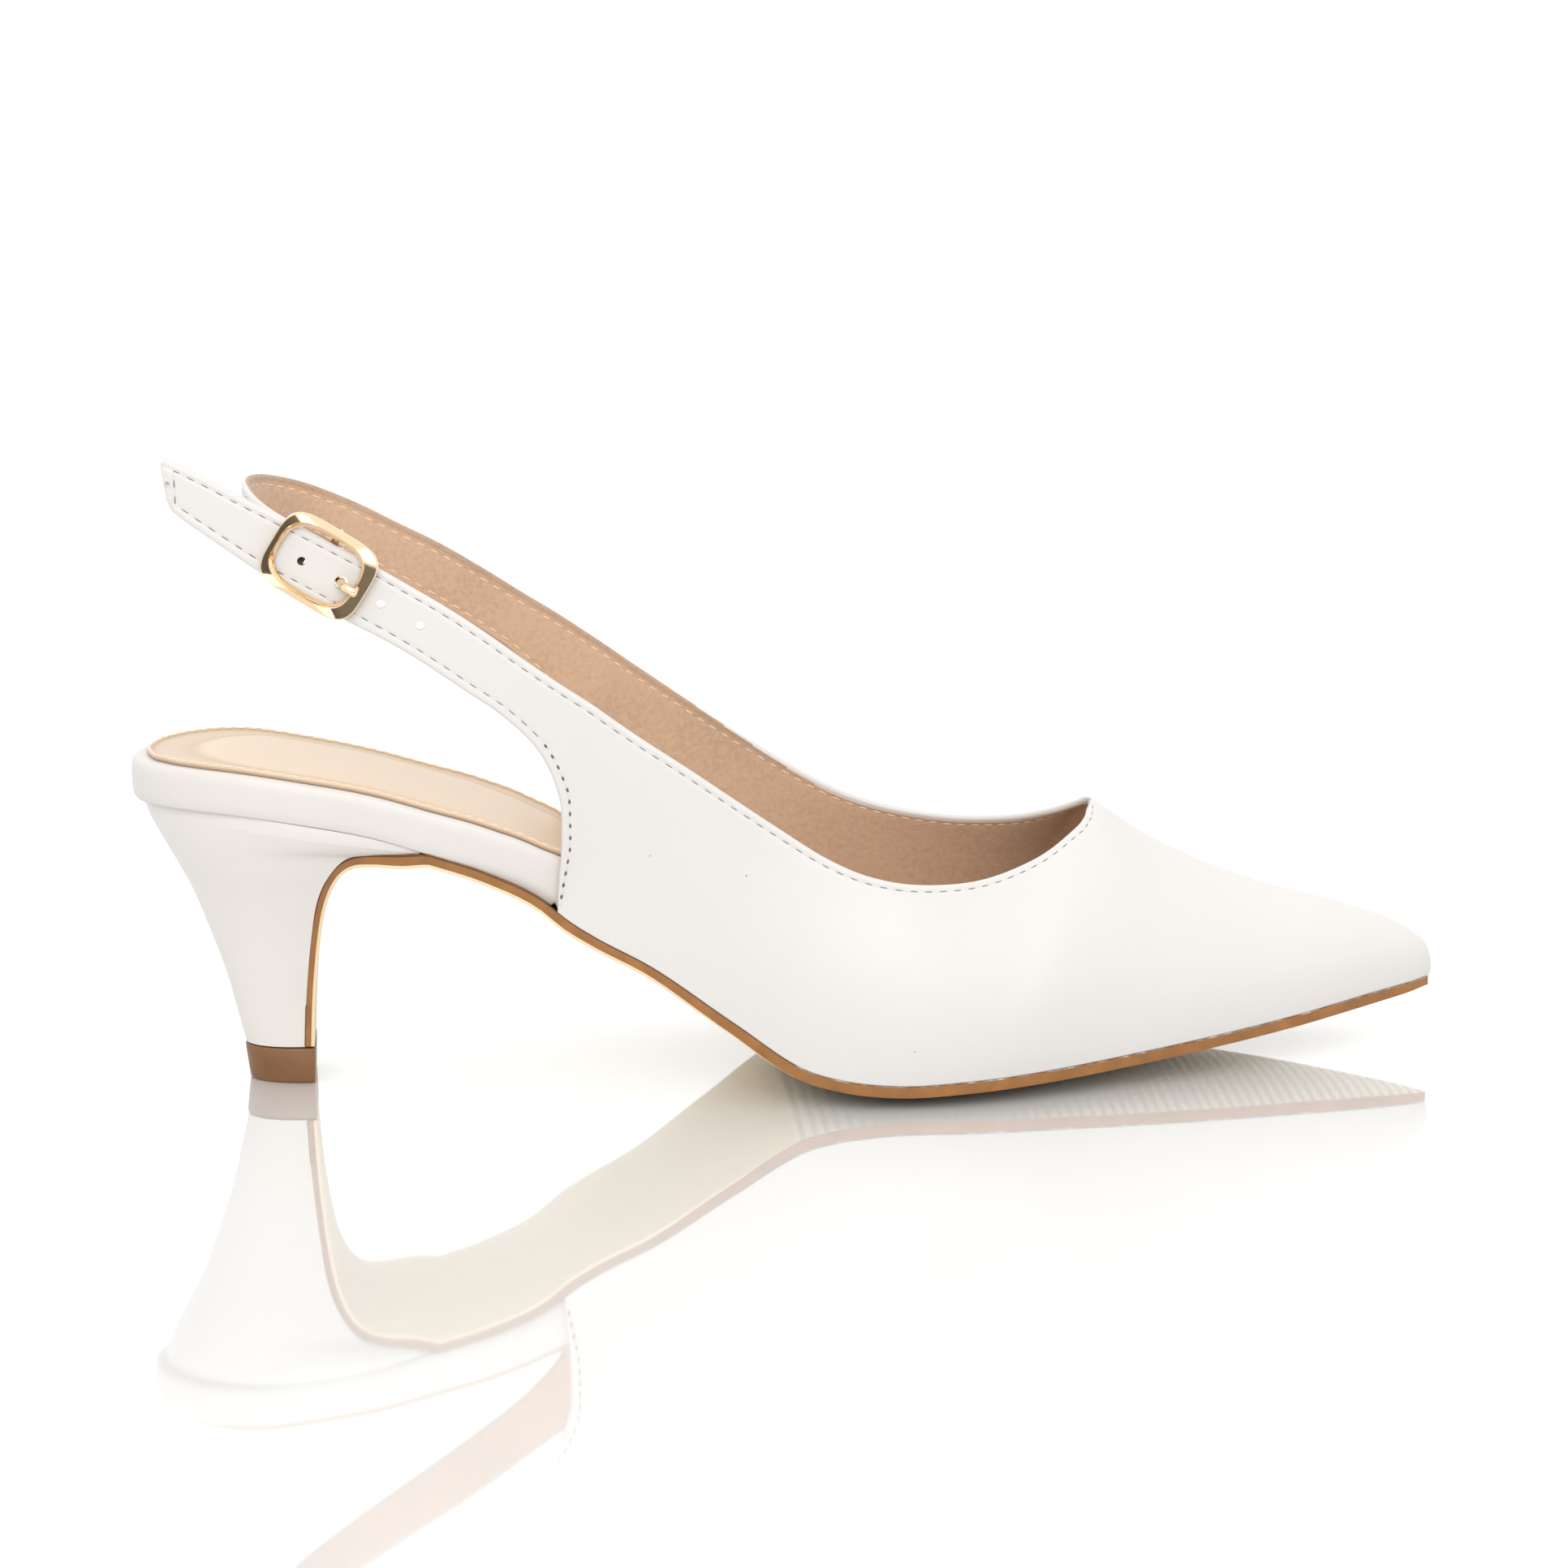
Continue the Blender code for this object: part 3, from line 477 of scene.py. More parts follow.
def buckle_point(a, w, n):
    """Point in the buckle's directions: along the strap to the toe, up across it, outward from its bar."""
    x = BUCKLE_X + a * cos(STRAP_SLOPE) + w * sin(STRAP_SLOPE)
    z = BUCKLE_Z - a * sin(STRAP_SLOPE) + w * cos(STRAP_SLOPE)
    return np.array([x, -(STRAP_OUTER_Y - BAR_DEPTH) - n, z])


def fold_rows():
    """Sling end: along the outside of the middle bar, round it, and back on the inside."""
    places = [(-FOLD_LEAD[0], SLING_RADIUS - GAP), (-FOLD_LEAD[1], SLING_RADIUS)]
    for turn in np.linspace(0.0, pi, FOLD_TURNS):
        places.append((SLING_RADIUS * sin(turn), SLING_RADIUS * cos(turn)))
    places.append((-0.5 * FOLD_LENGTH, -SLING_RADIUS))
    places.append((-FOLD_LENGTH, -SLING_RADIUS))
    half = 0.5 * SLING_WIDE
    return [(*buckle_point(a, -half, n), *buckle_point(a, half, n)) for a, n in places]


def side_ribs(side, standing, strap):
    """Control ribs of one side from the nose to the strap end, each an array of points."""
    name = "outer" if side == OUTER else "inner"

    def foot(x):
        return x, side * last(name, x)[0], last("edge_z", x)[0] + GAP

    ribs = []
    for low_x, top_x, top_z, facing, lean_low, full in VAMP:
        low = foot(low_x) if ribs else (low_x, NOSE_FOOT_Y, foot(low_x)[2])
        ribs.append(rib(low, (top_x, RIDGE_Y, top_z), facing, lean_low, 90.0, side, full))
    for low_x, top_x, top_y, top_z, lean_low, lean_top, full in standing:
        ribs.append(rib(foot(low_x), (top_x, side * top_y, top_z), 90.0, lean_low, lean_top, side, full))
    share = np.linspace(0.0, 1.0, RIB_STEPS + 1)[:, None]
    for row in strap:
        low, top = np.array(row[:3]), np.array(row[3:])
        ribs.append(low + (top - low) * share)
    return np.array(ribs)


def smooth_ribs(ribs, short, turn=None):
    """Ribs between the control ribs, the end cut short; the curve bends sharply at a turn."""
    count = len(ribs) - 1
    ends = [0, count] if turn is None else [0, turn, count]
    out = []
    for first, final in zip(ends[:-1], ends[1:]):
        block = ribs[first:final + 1].reshape(final + 1 - first, -1)
        at = np.linspace(first, final, (final - first) * RIB_SPLITS + 1)
        at = at - short * np.clip(at - (count - 1), 0.0, 1.0)
        dense = hermite(block, np.arange(first, final + 1), at).reshape(-1, *ribs.shape[1:])
        out.append(dense if final == ends[-1] else dense[:-1])
    return np.concatenate(out)


def refine(ribs, throat, corner, short):
    """Smooth surface whose top edge turns at the throat and whose lower edge turns at the rear corner."""
    share = np.linspace(0.0, 1.0, RIB_STEPS + 1)[None, :, None]
    even = smooth_ribs(ribs, short)
    at_throat = smooth_ribs(ribs, short, throat) - even
    at_corner = smooth_ribs(ribs, short, corner) - even
    ribs = even + at_throat * share**TOP_TURN_POWER + at_corner * (1.0 - share) ** FOOT_POWER
    near = bell(np.arange(len(ribs)) - throat * RIB_SPLITS, THROAT_SOFT_ROWS)
    near = near[1:-1, None, None] * (1.0 - share**THROAT_SOFT_POWER)
    for _ in range(THROAT_SOFT_PASSES):
        ribs[1:-1] += near * (0.25 * ribs[:-2] - 0.5 * ribs[1:-1] + 0.25 * ribs[2:])
    return ribs


def slant(ribs, edge, within):
    """How much further it is along a rib than straight in from the edge."""
    along = unit(np.gradient(ribs[:, edge], axis=0))
    across = unit(ribs[:, within] - ribs[:, edge])
    return 1.0 / np.clip(np.linalg.norm(np.cross(along, across), axis=1), LEAST_SLANT, 1.0)


def resample(ribs, pull_low, pull_top, slant_low, slant_top):
    """Ribs with points at set distances from both edges, and the distance of every point from both."""
    step = np.linalg.norm(np.diff(ribs, axis=1), axis=2)
    run = np.concatenate([np.zeros((len(ribs), 1)), np.cumsum(step, axis=1)], axis=1)
    rows, from_low, from_top = [], [], []
    for line, way, low, top, more_low, more_top in zip(ribs, run, pull_low, pull_top, slant_low, slant_top):
        most = RIB_SHARE * way[-1] / EDGE_STEPS[-1]
        more_low, more_top = (min(more, max(1.0, most - 1.0)) for more in (more_low, more_top))
        first = (low + EDGE_STEPS) * more_low
        final = way[-1] - (top + EDGE_STEPS[::-1]) * more_top
        middle = np.linspace(first[-1], final[0], MIDDLE_STEPS + 2)[1:-1]
        at = np.concatenate([first, middle, final])
        rows.append(sample(line, way, at))
        from_low.append(at / more_low)
        from_top.append((way[-1] - at) / more_top)
    return np.array(rows), np.array(from_low), np.array(from_top)


def grid_normals(grid, side):
    along, across = np.gradient(grid, axis=0), np.gradient(grid, axis=1)
    return unit(np.cross(across, along) * -side)


def bell(distance, wide):
    return np.exp(-((distance / wide) ** 2))


class Upper:
    """Both sides of the upper as grids of points with their outward normals."""

    def __init__(self, sizes):
        self.wall = sizes.wall / MM
        self.groove = sizes.stitch_groove / MM
        self.throat = (len(VAMP) - 1) * RIB_SPLITS
        self.corner = self.throat + len(OUTER_SIDE) * RIB_SPLITS
        flip = np.array([1.0, OUTER, 1.0, 1.0, OUTER, 1.0])
        outer = side_ribs(OUTER, OUTER_SIDE, list(np.array(OUTER_STRAP) * flip))
        inner = side_ribs(INNER, INNER_SIDE, list(INNER_STRAP) + fold_rows())
        throat, corner = self.throat // RIB_SPLITS, self.corner // RIB_SPLITS
        outer, inner = refine(outer, throat, corner, TAIL_SHORT), refine(inner, throat, corner, 0.0)
        self.shape(self.seated(outer), self.seated(inner))

    def seated(self, ribs):
        """Feet of the standing ribs set down on the last between the control ribs too."""
        share = np.linspace(0.0, 1.0, RIB_STEPS + 1)[None, :]
        feet = ribs[:self.corner + 1, 0]
        lift = last("edge_z", np.minimum(feet[:, 0], SOLE_END)) + GAP - feet[:, 2]
        ribs[:self.corner + 1, :, 2] += lift[:, None] * (1.0 - share) ** FOOT_POWER
        return ribs

    def free(self, rows, start):
        """How far the edge is turned over: none up to the start row, all of it a few rows behind."""
        return np.clip((np.asarray(rows) - start) / EDGE_RAMP_ROWS, 0.0, 1.0)

    def shape(self, outer, inner):
        self.grids, self.normals, self.linings = [], [], []
        made = []
        half = 0.5 * self.wall
        for ribs in (outer, inner):
            rows = np.arange(len(ribs))
            turn = np.clip((rows - len(outer) + 1) / TAIL_ROUND_ROWS + 1.0, 0.0, 1.0) * (ribs is outer)
            at_low, at_top = self.free(rows, self.corner), self.free(rows, self.throat)
            low = half * at_low + TAIL_ROUND * (1.0 - np.sqrt(1.0 - turn**2))
            slant_low = 1.0 + at_low * (slant(ribs, 0, 2) - 1.0)
            slant_top = 1.0 + at_top * (slant(ribs, -1, -3) - 1.0)
            made.append(resample(ribs, low, half * at_top, slant_low, slant_top))
        normals = [grid_normals(grid, side) for (grid, _, _), side in zip(made, (OUTER, INNER))]
        ridge = unit(normals[0][:self.throat + 1, -1] + normals[1][:self.throat + 1, -1])
        nose = unit(normals[0][0] + normals[1][0])
        for normal in normals:
            normal[0] = nose
            normal[:self.throat + 1, -1] = ridge
        for (grid, from_low, from_top), normal, side in zip(made, normals, (OUTER, INNER)):
            rows = np.arange(len(grid))[:, None]
            at_top, at_low = self.free(rows, self.throat), self.free(rows, self.corner)
            top = at_top * bell(from_top - half - EDGE_STEPS[TOP_STITCH], GROOVE_WIDE)
            low = at_low * bell(from_low - half - self.low_stitch(rows, side), GROOVE_WIDE)
            inside = at_top * bell(from_top - half - EDGE_STEPS[LINING_STITCH], GROOVE_WIDE)
            sink = (self.groove * np.maximum(top, low))[:, :, None]
            lining = grid - (self.wall - self.groove * np.maximum(inside, low))[:, :, None] * normal
            grid = grid - sink * normal
            if side == OUTER:
                grid = grid - self.creases(grid)[:, :, None] * normal
            self.grids.append(grid)
            self.normals.append(normal)
            self.linings.append(lining)

    def low_stitch(self, rows, side):
        """Way from the turned lower edge to its stitches."""
        buckle = self.corner + BUCKLE_RIBS * RIB_SPLITS
        wider = BUCKLE_EDGE * bell(rows - buckle, BUCKLE_EDGE_ROWS) if side == OUTER else 0.0 * rows
        return EDGE_STEPS[LOW_STITCH] + wider

    def low_line(self, field, rows, side):
        """Values of a grid along the lower stitches."""
        ways = self.low_stitch(np.asarray(rows), side)
        near = field[rows, :len(EDGE_STEPS)]
        return np.array([sample(line, EDGE_STEPS, way) for way, line in zip(ways, near)])

    def creases(self, grid):
        total = np.zeros(grid.shape[:2])
        for x, z, angle, long, wide, deep in CREASES:
            dx, dz = grid[:, :, 0] - x, grid[:, :, 2] - z
            c, s = cos(radians(angle)), sin(radians(angle))
            total += deep * bell(dx * c - dz * s, long) * bell(dx * s + dz * c, wide)
        return total

    def edge(self):
        """Points, normals, ways outward and rows behind the turned-over rim, from throat to throat."""
        (a, b), (na, nb) = self.grids, self.normals
        t, end_a, end_b, cols = self.throat, len(a) - 1, len(b) - 1, a.shape[1]
        walk = [(0, r, cols - 1, r, cols - 2) for r in range(t, end_a + 1)]
        walk[0] = (0, t, cols - 1, t - 1, cols - 1)
        walk += [(0, end_a, c, end_a - 1, c) for c in range(cols - 2, 0, -1)]
        walk += [(0, r, 0, r, 1) for r in range(end_a, -1, -1)]
        walk += [(1, r, 0, r, 1) for r in range(1, end_b + 1)]
        walk += [(1, end_b, c, end_b - 1, c) for c in range(1, cols - 1)]
        walk += [(1, r, cols - 1, r, cols - 2) for r in range(end_b, t, -1)]
        points = np.array([(a, b)[s][r, c] for s, r, c, _, _ in walk])
        normals = np.array([(na, nb)[s][r, c] for s, r, c, _, _ in walk])
        within = np.array([(a, b)[s][r, c] for s, _, _, r, c in walk])
        ahead = unit(np.roll(points, -1, axis=0) - np.roll(points, 1, axis=0))
        out = unit(np.cross(ahead, normals))
        out *= np.sign(np.sum(out * (points - within), axis=1))[:, None]
        roll = [self.free(r, self.corner if c == 0 else self.throat) for _, r, c, _, _ in walk]
        behind = np.array([s * (r - t - RIM_RIBS * RIB_SPLITS) for s, r, _, _, _ in walk])
        return points, normals, out * np.array(roll)[:, None], behind

    def rolled_edge(self):
        """Strip that turns from the leather over the edge to the lining."""
        points, normals, out, behind = self.edge()
        turn = np.linspace(0.0, pi, ROLL_STEPS + 1)[None, :, None]
        half = 0.5 * self.wall
        roll = out[:, None] * np.sin(turn) - normals[:, None] * (1.0 - np.cos(turn))
        strip = points[:, None] + half * roll
        return np.concatenate([strip, strip[:1]]), np.append(behind, behind[0])

    def rear_seam(self):
        """Line of short stitches down the rear edge of the outer quarter to the sole."""
        rows = list(range(self.corner + REAR_STITCH_RIBS * RIB_SPLITS, self.corner - 1, -1))
        return self.low_line(self.grids[0], rows, OUTER), self.low_line(self.normals[0], rows, OUTER)

    def seams(self, inside):
        """Lines of stitches as (points, normals): along the top line, round the strap end and back."""
        lines = []
        for side in (0, 1):
            grid = self.linings[side] if inside else self.grids[side]
            normal = -self.normals[side] if inside else self.normals[side]
            low, top = LOW_STITCH, grid.shape[1] - 1 - (LINING_STITCH if inside else TOP_STITCH)
            end = len(grid) - 3 if side == 0 else len(grid) - 1 - (FOLD_TURNS + 2) * RIB_SPLITS
            rows = list(range(self.throat + 2, end + 1))
            stop = 0 if inside or side else REAR_STITCH_RIBS * RIB_SPLITS
            back = list(range(end, self.corner + stop, -1))
            path = [(r, top) for r in rows]
            below = [self.low_line(field, back, (OUTER, INNER)[side]) for field in (grid, normal)]
            if side == 0:
                path += [(end, c) for c in range(top - 1, low, -1)]
                above = [[field[p] for p in path] for field in (grid, normal)]
                lines.append([np.vstack(both) for both in zip(above, below)])
            else:
                lines.append((grid[rows, top], normal[rows, top]))
                lines.append(below)
        return lines


def add_sheet(bm, points, material=0):
    """Grid of faces through an array of points, rows first."""
    rows, cols = points.shape[:2]
    made = bmesh.ops.create_grid(bm, x_segments=cols - 1, y_segments=rows - 1, size=1.0)["verts"]
    for vert, place in zip(made, (points.reshape(-1, 3) + SHIFT) * MM):
        vert.co = place
    for face in {face for vert in made for face in vert.link_faces}:
        face.material_index = material
    return made


def add_skin(bm, rings):
    """Skin round rings of points, each end closed by a ladder of faces across its ring."""
    rings = np.asarray(rings)
    count = rings.shape[1]
    made = add_sheet(bm, np.concatenate([rings, rings[:, :1]], axis=1))
    for row in (0, len(rings) - 1):
        ring = made[row * (count + 1):row * (count + 1) + count]
        for k in range(count // 2 - 1):
            bm.faces.new([ring[k], ring[k + 1], ring[count - 2 - k], ring[count - 1 - k]])


def tube_rings(points, radius):
    """Rings of a round rod along a path; the radius may change along it."""
    points = np.asarray(points, float)
    radius = np.broadcast_to(radius, len(points))
    heading = unit(np.gradient(points, axis=0))
    cross = np.cross(heading[0], ROD_SIDE)
    turn = np.arange(WIRE_SIDES)[:, None] * 2.0 * pi / WIRE_SIDES
    rings = []
    for point, ahead, wide in zip(points, heading, radius):
        cross = unit(cross - ahead * np.dot(cross, ahead))
        rings.append(point + wide * (np.cos(turn) * cross + np.sin(turn) * np.cross(ahead, cross)))
    return rings


def cut_faces(bm, faces, point, normal):
    """Faces that are left of some faces after a cut along a plane."""
    geom = list({v for f in faces for v in f.verts}) + list({e for f in faces for e in f.edges}) + faces
    cut = bmesh.ops.bisect_plane(bm, geom=geom, plane_co=point, plane_no=normal, dist=CUT_SLACK)
    return [part for part in cut["geom"] if isinstance(part, bmesh.types.BMFace)]


def add_object(name, bm, materials):
    """Object in the scene from a finished mesh."""
    mesh = bpy.data.meshes.new(name)
    bm.to_mesh(mesh)
    bm.free()
    for material in materials:
        mesh.materials.append(material)
    obj = bpy.data.objects.new(name, mesh)
    bpy.context.scene.collection.objects.link(obj)
    return obj


def finish_piece(name, bm, materials, node=None, sharp=180.0):
    """Weld a piece, shade it smooth up to a sharp angle and hand it to the frame."""
    bmesh.ops.remove_doubles(bm, verts=bm.verts[:], dist=WELD)
    bmesh.ops.delete(bm, geom=[edge for edge in bm.edges if not edge.link_faces], context="EDGES")
    bmesh.ops.recalc_face_normals(bm, faces=bm.faces[:])
    if len(bm.faces) == 0:
        raise RuntimeError(f"{name} has no faces")
    for face in bm.faces:
        face.smooth = True
    obj = add_object(name, bm, materials)
    obj.data.set_sharp_from_angle(angle=radians(sharp))
    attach(obj, "root")
    if node:
        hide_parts(node)
    return obj


def new_material(name, color, roughness, metallic=0.0, coat=0.0, coat_roughness=0.2, sheen=0.0):
    material = bpy.data.materials.new(name)
    material.use_nodes = True
    shader = material.node_tree.nodes["Principled BSDF"]
    for socket, value in (
        ("Base Color", (*color, 1.0)), ("Roughness", roughness), ("Metallic", metallic),
        ("Coat Weight", coat), ("Coat Roughness", coat_roughness), ("Sheen Weight", sheen),
    ):
        shader.inputs[socket].default_value = value
    return material


def add_node(material, kind, inputs, **settings):
    """Node in a material; each input is a value or another node's socket."""
    tree = material.node_tree
    node = tree.nodes.new("ShaderNode" + kind)
    for name, value in settings.items():
        setattr(node, name, value)
    for name, value in inputs.items():
        if isinstance(value, bpy.types.NodeSocket):
            tree.links.new(value, node.inputs[name])
        else:
            node.inputs[name].default_value = value
    return node


def to_shader(material, source, name):
    """Link a socket to the input of the material's shader."""
    tree = material.node_tree
    tree.links.new(source, tree.nodes["Principled BSDF"].inputs[name])


def from_shader(material, name):
    """Sockets that are linked to an input of the material's shader."""
    return [link.from_socket for link in material.node_tree.nodes["Principled BSDF"].inputs[name].links]


def add_place(material):
    """Socket of the object's own coordinates."""
    return add_node(material, "TexCoord", {}).outputs["Object"]


def add_noise(material, scale, detail, stretch=None):
    """Socket of a noise that reads the object's own coordinates."""
    place = add_place(material)
    if stretch:
        place = add_node(material, "Mapping", {"Vector": place, "Scale": stretch}).outputs["Vector"]
    return add_node(material, "TexNoise", {"Vector": place, "Scale": scale, "Detail": detail}).outputs["Fac"]


def add_bump(material, height, strength, distance):
    """Bump from a height socket, on top of any bump the material has."""
    bump = add_node(material, "Bump", {"Height": height, "Strength": strength, "Distance": distance})
    for below in from_shader(material, "Normal"):
        material.node_tree.links.new(below, bump.inputs["Normal"])
    to_shader(material, bump.outputs["Normal"], "Normal")


def add_ramp(material, factor, stops):
    """Base colour from a factor socket through a ramp: stops are (place, colour)."""
    ramp = add_node(material, "ValToRGB", {"Fac": factor})
    elements = ramp.color_ramp.elements
    while len(elements) < len(stops):
        elements.new(0.5)
    for element, (place, color) in zip(elements, stops):
        element.position = place
        element.color = (*color, 1.0)
    to_shader(material, ramp.outputs["Color"], "Base Color")


def add_scaled(material, first, by, second):
    """Socket with the first value times a number, plus the second value."""
    both = add_node(material, "Math", {0: first, 1: by, 2: second}, operation="MULTIPLY_ADD")
    return both.outputs["Value"]


def shade(color, by):
    return tuple(min(1.0, part * by) for part in color)


class ShoeSizes(bpy.types.PropertyGroup):
    """Sizes of the small details."""

    wall: bpy.props.FloatProperty(
        name="Wall", description="Leather and lining together", default=0.0014, unit="LENGTH")
    stitch_groove: bpy.props.FloatProperty(
        name="Stitch groove", description="Depth of the seams", default=0.00014, unit="LENGTH")
    stitch_pitch: bpy.props.FloatProperty(
        name="Stitch pitch", description="From stitch to stitch", default=0.00287, unit="LENGTH")
    thread_wide: bpy.props.FloatProperty(
        name="Thread", description="Width of the thread", default=0.00036, unit="LENGTH")
    # Needle marks are painted shade in the needle holes
    mark_long: bpy.props.FloatProperty(
        name="Needle mark", description="Painted shade in a needle hole between stitches", default=0.0017, unit="LENGTH")
    rear_pitch: bpy.props.FloatProperty(
        name="Rear pitch", description="Stitch to stitch on the rear edge", default=0.00228, unit="LENGTH")
    rear_mark: bpy.props.FloatProperty(
        name="Rear mark", description="Painted shade in a needle hole on the rear edge", default=0.00095, unit="LENGTH")
    lens: bpy.props.FloatProperty(
        name="Lens", description="Focal length on a 36 mm sensor", default=93.17)


class ShoeColours(bpy.types.PropertyGroup):
    """Colours, linear."""

    leather: bpy.props.FloatVectorProperty(
        name="Leather", description="White upper", default=(0.645, 0.62, 0.592), subtype="COLOR")
    heel: bpy.props.FloatVectorProperty(
        name="Heel", description="White heel and footbed", default=(0.63, 0.60, 0.565), subtype="COLOR")
    lining: bpy.props.FloatVectorProperty(
        name="Lining", description="Tan suede", default=(0.535, 0.356, 0.239), subtype="COLOR")
    sock: bpy.props.FloatVectorProperty(
        name="Sock", description="Pale beige sock", default=(0.62, 0.49, 0.36), subtype="COLOR")
    sole: bpy.props.FloatVectorProperty(
        name="Sole edge", description="Tan edge of the sole", default=(0.30, 0.125, 0.031), subtype="COLOR")
    sole_under: bpy.props.FloatVectorProperty(
        name="Sole underside", description="Pale sheet", default=(0.76, 0.62, 0.41), subtype="COLOR")
    sole_tread: bpy.props.FloatVectorProperty(
        name="Tread", description="Ribbed forepart", default=(0.80, 0.69, 0.52), subtype="COLOR")
    top_piece: bpy.props.FloatVectorProperty(
        name="Top piece", description="Brown wearing piece", default=(0.18, 0.076, 0.022), subtype="COLOR")
    gold: bpy.props.FloatVectorProperty(
        name="Gold", description="Plated buckle", default=(0.84, 0.64, 0.42), subtype="COLOR")
    thread: bpy.props.FloatVectorProperty(
        name="Thread", description="White thread", default=(0.64, 0.62, 0.60), subtype="COLOR")
    mark: bpy.props.FloatVectorProperty(
        name="Needle mark", description="Shade in the holes", default=(0.25, 0.235, 0.25), subtype="COLOR")
    lining_thread: bpy.props.FloatVectorProperty(
        name="Lining thread", description="Light beige thread", default=(0.70, 0.52, 0.34), subtype="COLOR")


def leather_material(name, color, coat):
    """Coated leather with a fine grain and a slight slackness."""
    material = new_material(name, color, roughness=0.40, coat=coat, coat_roughness=0.28)
    tone = add_noise(material, scale=24.0, detail=2.0)
    add_ramp(material, tone, [(0.3, shade(color, 0.985)), (0.7, shade(color, 1.01))])
    add_bump(material, add_noise(material, scale=1700.0, detail=2.0), strength=0.08, distance=0.00012)
    add_bump(material, add_noise(material, scale=90.0, detail=2.0), strength=0.06, distance=0.0008)
    return material


def lining_material(name, color):
    """Suede with a short nap."""
    material = new_material(name, color, roughness=0.95, sheen=0.25)
    large = add_noise(material, scale=60.0, detail=3.0, stretch=(0.5, 1.0, 1.0))
    fine = add_noise(material, scale=1050.0, detail=6.0)
    tone = add_scaled(material, large, 0.8, fine)
    add_ramp(material, tone, [(0.66, shade(color, 0.89)), (0.9, color), (1.02, shade(color, 1.055))])
    add_bump(material, add_noise(material, scale=2600.0, detail=4.0), strength=0.45, distance=0.0002)
    return material


def sock_material(color):
    """Smooth lining leather, with painted shade and highlight from the tone of its points."""
    material = new_material("sock_beige", color, roughness=0.42, coat=0.08, coat_roughness=0.35)
    tone = add_node(material, "Attribute", {}, attribute_name="tone")
    mottle = add_noise(material, scale=60.0, detail=4.0)
    both = add_scaled(material, mottle, 0.16, tone.outputs["Fac"])
    # Warm dark end of the ramp for the painted shade
    dark = (0.72 * color[0], 0.62 * color[1], 0.52 * color[2])
    add_ramp(material, both, [(0.08, dark), (0.58, color), (0.9, shade(color, 1.12))])
    add_bump(material, add_noise(material, scale=1500.0, detail=2.0), strength=0.10, distance=0.00012)
    return material


